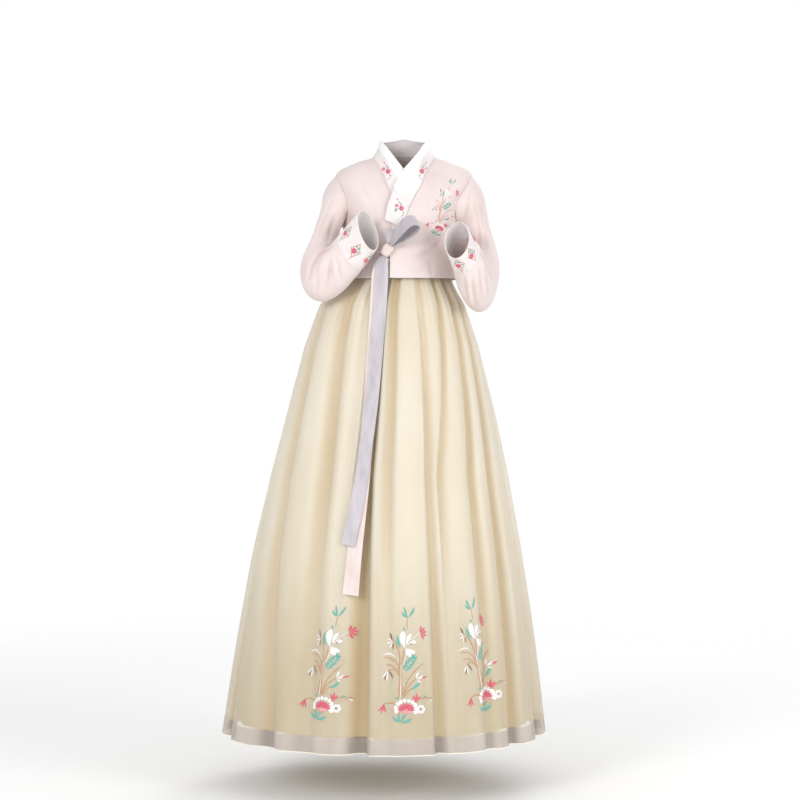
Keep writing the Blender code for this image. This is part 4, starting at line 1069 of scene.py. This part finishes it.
# Embroidery. Each row is one stitched shape, in mm from the spray's foot: x and y of its start, x and y of
# its end, how far its middle bows to the right, its greatest width, and its form: 0 a stem of even width,
# 1 a pointed leaf, 2 a petal that is widest near its end.
SPRAY = {
    "tan": (
        (-5, 50, -3, 118, 2, 2.5, 0), (-3, 118, -17, 168, 5, 2.1, 0), (5, 50, 1, 116, -2, 2.5, 0),
        (1, 116, 5, 148, 1, 2.0, 0), (12, 190, 13, 213, -1, 1.3, 0), (-4, 106, -35, 130, 9, 1.8, 0),
        (-4, 98, -31, 116, 6, 1.7, 0), (-5, 94, -28, 103, 8, 1.7, 0), (5, 56, 46, 120, -8, 1.8, 0),
        (6, 54, 33, 90, -4, 1.8, 0), (-1, 12, -34, 36, 15, 2.0, 0), (23, 36, 60, 50, -6, 2.0, 0),
        (8, 52, 26, 72, -2, 1.7, 0)),
    "floss": (
        (0, 52, 0, 118, 0, 2.4, 0), (3, 118, 11, 150, 2, 1.8, 0), (17, 166, 37, 182, 0, 1.6, 0),
        (8, 151, 5, 186, -4, 13, 2), (12, 156, 21, 180, -3, 8, 2), (14, 157, 32, 163, -3, 7, 2),
        (11, 152, 30, 143, 3, 9, 2), (9, 150, 22, 134, 2, 8, 2), (-11, 131, -39, 133, 6, 3.4, 1),
        (-18, 164, -30, 168, 1, 3.2, 1), (-18, 162, -30, 157, 1, 3.4, 1), (-18, 161, -23, 148, 1, 3.4, 1),
        (-28, 104, -39, 90, -2, 4.2, 1), (-27, 104, -27, 82, 1, 4.6, 1), (33, 88, 38, 104, -2, 4.4, 1),
        (34, 88, 46, 97, 1, 4.0, 1), (34, 87, 43, 82, 1, 3.2, 1), (60, 50, 67, 44, 0, 2.6, 1)),
    "brown": (
        (-19, 164, -24, 181, 1, 3.2, 1), (-17, 161, -17, 148, 0, 2.6, 1), (-28, 104, -34, 84, -1, 3.4, 1),
        (-26, 104, -17, 88, -2, 2.8, 1), (17, 158, 23, 166, 1, 4.0, 1), (59, 51, 66, 50, 0, 2.0, 1),
        (38, 27, 42, 29, 0, 3.4, 1)),
    "teal": (
        (12, 213, 0, 225, -2, 4.6, 1), (12, 214, 5, 235, -1, 4.0, 1), (14, 214, 26, 236, 2, 4.6, 1),
        (-1, 152, -8, 178, -3, 6.0, 1), (7, 184, 4, 194, 0, 3.0, 1), (22, 68, 40, 84, 2, 6.0, 1),
        (-3, 46, -12, 52, 0, 2.6, 1), (0, 2, -15, 12, -2, 6.0, 1), (1, 0, -8, 18, 1, 4.2, 1),
        (3, 1, 25, 10, 2, 6.4, 1), (3, 2, 10, 20, -1, 4.2, 1), (3, 4, 30, 26, -3, 1.2, 0),
        (46, 52, 56, 52, -2, 2.6, 1)),
    "rose": (
        (44, 92, 55, 95, 1, 3.6, 1), (31, 42, 25, 56, 1, 4.0, 1), (32, 42, 34, 60, 0, 4.4, 1),
        (34, 42, 42, 55, -1, 4.0, 1), (-34, 36, -47, 22, -2, 3.4, 1), (-34, 36, -40, 16, -1, 3.2, 1),
        (-33, 36, -29, 18, 1, 3.2, 1)),
}
# Petals in a ring, in mm and degrees: x, y, where they start and end from there, width, the first and the
# last one's direction, how many, and how much wider than high the ring is.
SPRAY_RINGS = {
    "floss": ((12, 28, 12, 21, 8.5, -22, 196, 10, 1.25), (43, 28, 2, 9.5, 7.0, 0, 300, 6, 1)),
    "rose": ((12, 26, 2, 14, 4.6, 0, 180, 9, 1.3), (38, 182, 2, 15, 4.0, -50, 78, 5, 1)),
    "blush": ((14, 25, 1, 8, 4.4, 200, 345, 5, 1.3),),
}
TOOTHED_LEAF = (6, 104, 30, 137, 15, 5)            # x and y of its two ends, width, teeth on a side
COLLAR_SPRAY = {
    "tan": ((0, 5, -5, 18, 1, 0.8, 0), (3, -5, 8, -17, -1, 0.8, 0)),
    "teal": ((-5, -2, -13, -9, 1, 3.6, 1), (-6, 0, -14, -2, -1, 3.0, 1), (1, 5, 0, 13, 1, 2.4, 1),
             (-4, 12, -1, 16, 0, 1.8, 1), (5, -8, 10, -11, 0, 1.8, 1), (6, -14, 2, -19, 0, 1.8, 1)),
    "rose": ((-5, 18, -8, 23, 0, 2.4, 1),),
}
COLLAR_RINGS = {"rose": ((2, 0, 0.5, 6, 4.0, 0, 300, 6, 1), (-8, 6, 0.5, 4.5, 3.2, 0, 288, 5, 1))}
CUFF_SPRAY = {
    "tan": ((-9, 0, 0, 14, 1, 1.3, 0), (0, 14, 9, 0, 1, 1.3, 0), (9, 0, 0, -14, 1, 1.3, 0),
            (0, -14, -9, 0, 1, 1.3, 0), (0, 14, 1, 18, 0, 1.3, 0)),
    "teal": ((-1, -3, -4, -9, 0, 2.8, 1), (-2, -1, -7, 1, 0, 2.4, 1), (0, -4, 3, -9, 0, 2.4, 1)),
}
CUFF_RINGS = {"rose": ((2, 2, 0.5, 5, 3.6, 0, 300, 6, 1),)}
FLOSS_COLOURS = ("tan", "floss", "brown", "teal", "rose", "blush")
STITCH_ROWS, STITCH_COLUMNS = 9, 5
FLOSS_RISE, FLOSS_ROOT = 0.0007, 0.0003            # how far floss stands out of the cloth and reaches into it
# Sprays near the hem: the angle and height of each one's foot, and its lean in degrees.
HEM_SPRAYS = ((-25.6, -1.2025, 5), (6.4, -1.205, 2), (41.0, -1.193, -7), (154, -1.203, 4), (186, -1.205, -2),
              (217, -1.203, -5))
CHEST_FOOT, CHEST_SCALE, CHEST_LEAN = (0.066, -0.180), 0.56, 15.0
COLLAR_PLACES = ((-0.0370, -0.0410, 1), (0.0410, -0.0410, -1), (-0.0080, -0.1250, 1))  # x, z, mirrored
CUFF_MOTIFS, CUFF_MIDDLE, CUFF_SCALE = 6, 10.0, 1.35
HEM_REACH, CHEST_REACH, CUFF_REACH = 0.5, 0.4, 0.02   # how far out a motif starts before it is laid on
UP = np.array((0, 0, 1.0))


def petal_ring(x, y, inner, outer, width, first, last, count, wide):
    """Petals side by side, fanned out from one middle."""
    turn = np.radians(np.linspace(first, last, count))
    ray = np.stack([np.cos(turn) * wide, np.sin(turn)], -1)
    return [(*(np.array((x, y)) + r * inner), *(np.array((x, y)) + r * outer), 0, width, 2) for r in ray]


def toothed_leaf(x1, y1, x2, y2, width, teeth):
    """Short slanted stitches on both sides of a midline."""
    start, run = np.array((x1, y1)), np.array((x2 - x1, y2 - y1))
    side = np.array((run[1], -run[0])) / np.hypot(*run)
    rows = []
    for at in (np.arange(teeth) + 0.5) / teeth:
        reach = width / 2 * math.sin(math.pi * (0.18 + 0.72 * at)) ** 0.8
        for turned in (-1, 1):
            root = start + run * at * 0.85 + side * 0.3 * turned
            rows.append((*root, *(root + run * 1.15 / teeth + side * reach * turned), 1.2 * turned, 4.4, 1))
    rows.append((*(start + run * 0.8), *(start + run), 0, 3.4, 1))
    return rows


def drawing(shapes, rings, leaf=None):
    """All the stitched shapes of a motif, by colour."""
    made = {name: list(shapes.get(name, ())) for name in FLOSS_COLOURS}
    for name, rows in rings.items():
        made[name] += [shape for row in rows for shape in petal_ring(*row)]
    if leaf:
        made["teal"] += toothed_leaf(*leaf)
    return made


def stitched(rows):
    """Grids of points in mm, one for each shape, with their half widths' places from -1 to 1."""
    rows = np.asarray(rows, float)
    start, end, bow, width, form = (rows[:, k][:, None] for k in (slice(0, 2), slice(2, 4), 4, 5, 6))
    t = np.linspace(0, 1, STITCH_ROWS)[None, :, None]
    run = end - start
    right = np.stack([run[..., 1], -run[..., 0]], -1) / np.linalg.norm(run, axis=-1)[..., None]
    bow, width, form = (k[..., None] for k in (bow, width, form))
    middle = start + run * t + right * bow * 4 * t * (1 - t)
    along = run + right * bow * 4 * (1 - 2 * t)
    across = np.stack([along[..., 1], -along[..., 0]], -1) / np.linalg.norm(along, axis=-1)[..., None]
    stem, leaf = 1 - 0.4 * np.abs(2 * t - 1) ** 4, np.sin(np.pi * t) ** 0.85
    petal = np.sin(np.pi * t ** 1.6) ** 0.6
    half = width / 2 * (0.08 + 0.92 * np.where(form < 0.5, stem, np.where(form < 1.5, leaf, petal)))
    share = np.linspace(-1, 1, STITCH_COLUMNS)
    return middle[:, :, None] + across[:, :, None] * half[:, :, None] * share[None, None, :, None]


def target(*names):
    """The cloth that the needle meets."""
    points, faces = [], []
    for name in names:
        mesh = bpy.data.objects[name].data
        faces += [[len(points) + k for k in face.vertices] for face in mesh.polygons]
        points += [vertex.co.copy() for vertex in mesh.vertices]
    return BVHTree.FromPolygons(points, faces)


def stitch(sewn, group, cloth_tree, origin, up, outward, motif, scale=1.0, lean=0.0, mirrored=1):
    """Sews a motif on the cloth that lies behind origin, seen against outward."""
    right = np.cross(up, outward)
    turn = math.radians(lean)
    share = np.linspace(-1, 1, STITCH_COLUMNS)
    for colour, rows in motif.items():
        if not rows:
            continue
        flat = stitched(rows) * scale / 1000
        if mirrored < 0:
            flat = flat[:, :, ::-1] * np.array((-1, 1))
        a = flat[..., 0] * math.cos(turn) + flat[..., 1] * math.sin(turn)
        b = flat[..., 1] * math.cos(turn) - flat[..., 0] * math.sin(turn)
        start = origin + right * a[..., None] + up * b[..., None]
        for shape, place in zip(start, flat):
            hits = [cloth_tree.ray_cast(Vector(k), Vector(-outward)) for k in shape.reshape(-1, 3)]
            if any(hit[0] is None for hit in hits):
                continue
            p = np.array([hit[0] for hit in hits]).reshape(shape.shape)
            n = np.array([hit[1] for hit in hits]).reshape(shape.shape)
            wide = np.linalg.norm(place[:, -1] - place[:, 0], axis=-1)[:, None]
            rise = np.minimum(FLOSS_RISE, 0.35 * wide) * np.sqrt(1 - share ** 2)
            length = arc_lengths(place, 0).mean(1, keepdims=True) + 0 * share
            spread = share * wide / 2
            sewn.setdefault((group, colour), []).append(
                (p + n * rise[..., None], p - n * FLOSS_ROOT, np.stack([length, spread], -1)))


def finish_stitches(sewn):
    """Makes one piece of each colour in each group."""
    at = np.arange(STITCH_ROWS * STITCH_COLUMNS).reshape(STITCH_ROWS, STITCH_COLUMNS)
    half = at.size
    top = np.stack([at[:-1, :-1], at[:-1, 1:], at[1:, 1:], at[1:, :-1]], -1).reshape(-1, 4)
    edge = np.concatenate([at[0, :-1], at[:-1, -1], at[-1, :0:-1], at[:0:-1, 0]])
    onward = np.roll(edge, -1)
    rim = np.stack([edge, edge + half, onward + half, onward], -1)
    faces = np.concatenate([top, top[:, ::-1] + half, rim])
    for (group, colour), shapes in sewn.items():
        points = np.concatenate([side.reshape(-1, 3) for shape in shapes for side in shape[:2]])
        spots = np.concatenate([np.tile(c.reshape(-1, 2), (2, 1)) for _, _, c in shapes])
        every = (faces[None] + 2 * half * np.arange(len(shapes))[:, None, None]).reshape(-1, 4)
        name = f"embroidery_{group}_{colour}"
        mesh_piece(name, points, every, FLOSS_PAINT[colour], spots[every])


def embroider():
    """Sews every motif on its cloth."""
    sewn = {}
    spray = drawing(SPRAY, SPRAY_RINGS, TOOTHED_LEAF)
    panels = target(*("panel_skirt_" + panel for panel in SKIRT_PANELS))
    for angle, height, lean in HEM_SPRAYS:
        turn = math.radians(angle)
        outward = np.array((math.sin(turn), -math.cos(turn), 0))
        origin = np.array((SKIRT_ROWS[-1, 4], 0, height)) + outward * HEM_REACH
        stitch(sewn, "skirt_hem", panels, origin, UP, outward, spray, lean=lean)
    front = np.array((0, -1.0, 0))
    x, z = CHEST_FOOT
    stitch(sewn, "jacket_front", target("jacket_front_left"), np.array((x, -CHEST_REACH, z)), UP, front,
           spray, CHEST_SCALE, CHEST_LEAN)
    collar = target("jacket_collar")
    small = drawing(COLLAR_SPRAY, COLLAR_RINGS)
    for x, z, mirrored in COLLAR_PLACES:
        foot = np.array((x, -CHEST_REACH, z))
        stitch(sewn, "jacket_collar", collar, foot, UP, front, small, mirrored=mirrored)
    diamond = drawing(CUFF_SPRAY, CUFF_RINGS)
    for side_name, rows, side in (("left", LEFT_SLEEVE_ROWS, 1), ("right", RIGHT_SLEEVE_ROWS, -1)):
        around = np.arange(CUFF_MOTIFS) * 360.0 / CUFF_MOTIFS
        surface = lambda u, v: sleeve(rows, side, u, v)
        middle = np.full(CUFF_MOTIFS, CUFF_MIDDLE)
        p, n = surface(around, middle), normals(surface, around, middle, outward_sign(surface))
        up = surface(around, middle - 0.2) - p
        up -= n * (up * n).sum(-1, keepdims=True)
        up /= np.linalg.norm(up, axis=-1)[:, None]
        cuff = target("jacket_cuff_" + side_name)
        for spot, outward, rising in zip(p, n, up):
            foot = spot + outward * CUFF_REACH
            stitch(sewn, "jacket_cuff", cuff, foot, rising, outward, diamond, CUFF_SCALE)
    finish_stitches(sewn)


FLOSS_PAINT = {name: thread_paint(name) for name in FLOSS_COLOURS}


CAMERA_PLACE = (-0.0089, -4.4, -0.54)
CAMERA_LENS, CAMERA_SENSOR = 89.1, 36.0
FLOOR_HEIGHT, FLOOR_HALF, FLOOR_FADE = -1.388, 4.0, (0.9, 3.6)
WORLD_LIGHT, BACKGROUND = 0.72, 1.0
LIGHTS = (
    ("key", (-2.5, -3.9, 0.9), (0, 0, -0.6), 1.8, 92),
    ("fill", (3.4, -3.2, 0.2), (0, 0, -0.6), 2.2, 88),
    ("rim", (1.6, 3.2, 1.6), (0, 0, -0.4), 2.0, 40),
)


def make_world():
    """Soft white light all round, a little dimmer than the white backdrop that shows."""
    world = bpy.data.worlds.new("studio")
    bpy.context.scene.world = world
    world.use_nodes = True
    nodes, links = world.node_tree.nodes, world.node_tree.links
    shown = nodes.new("ShaderNodeBackground")
    for node, strength in ((nodes["Background"], WORLD_LIGHT), (shown, BACKGROUND)):
        node.inputs["Color"].default_value = (1, 1, 1, 1)
        node.inputs["Strength"].default_value = strength
    path, mix = nodes.new("ShaderNodeLightPath"), nodes.new("ShaderNodeMixShader")
    links.new(path.outputs["Is Camera Ray"], mix.inputs["Fac"])
    links.new(nodes["Background"].outputs["Background"], mix.inputs[1])
    links.new(shown.outputs["Background"], mix.inputs[2])
    links.new(mix.outputs["Shader"], nodes["World Output"].inputs["Surface"])


def floor_paint():
    """A plain pale floor that runs out into the white backdrop."""
    made, nodes, links, shader = new_paint("floor_paint")
    shader.inputs["Base Color"].default_value = seen("floor")
    shader.inputs["Roughness"].default_value = 0.9
    spot, away = nodes.new("ShaderNodeTexCoord"), nodes.new("ShaderNodeVectorMath")
    away.operation = "LENGTH"
    links.new(spot.outputs["Object"], away.inputs[0])
    links.new(between(nodes, links, away.outputs["Value"], *FLOOR_FADE, 1.0, 0.0), shader.inputs["Alpha"])
    return made


def make_stage():
    """The floor, the lights and the camera at the photo's angle."""
    mesh = bpy.data.meshes.new("floor")
    corners = ((-1, -1), (1, -1), (1, 1), (-1, 1))
    mesh.from_pydata([(x * FLOOR_HALF, y * FLOOR_HALF, 0) for x, y in corners], [], [(0, 1, 2, 3)])
    floor = bpy.data.objects.new("floor", mesh)
    floor.location = (0, 0, FLOOR_HEIGHT)
    bpy.context.scene.collection.objects.link(floor)
    mesh.materials.append(floor_paint())
    make_world()
    for name, place, aim, size, power in LIGHTS:
        lamp = bpy.data.lights.new(name, "AREA")
        lamp.shape = "DISK"
        lamp.size = size
        lamp.energy = power
        holder = bpy.data.objects.new(name, lamp)
        holder.location = place
        holder.rotation_euler = (Vector(aim) - Vector(place)).to_track_quat("-Z", "Y").to_euler()
        bpy.context.scene.collection.objects.link(holder)
    camera = bpy.data.cameras.new("camera")
    camera.lens, camera.sensor_width = CAMERA_LENS, CAMERA_SENSOR
    holder = bpy.data.objects.new("camera", camera)
    holder.location = CAMERA_PLACE
    holder.rotation_euler = (math.radians(90), 0, 0)
    bpy.context.scene.collection.objects.link(holder)
    bpy.context.scene.camera = holder
    bpy.context.scene.view_settings.view_transform = "Standard"


def main():
    make_jacket()
    make_collar()
    make_sleeve("left", LEFT_SLEEVE_ROWS, 1, LEFT_SLEEVE_CREASES)
    make_sleeve("right", RIGHT_SLEEVE_ROWS, -1, RIGHT_SLEEVE_CREASES)
    make_skirt()
    make_band()
    make_tail("tie_hanging_pink", "tie_tail_pink", "tie_pink", PINK_TAIL_ROWS, LAYER_GAP, 0.0)
    make_tail("tie_hanging_grey", "tie_tail_grey", "grey", GREY_TAIL_ROWS,
              LAYER_GAP + TAIL_GAP + SKIRT_CLOTH, 0.0012)
    make_knot()
    make_loop()
    make_base("tie_end_grey", "tie_base_grey", "grey", GREY_BASE_ROWS, WRAP_LIFT + LAYER_GAP)
    make_base("tie_end_pink", "tie_base_pink", "tie_pink", PINK_BASE_ROWS, LAYER_GAP)
    embroider()
    make_stage()


main()
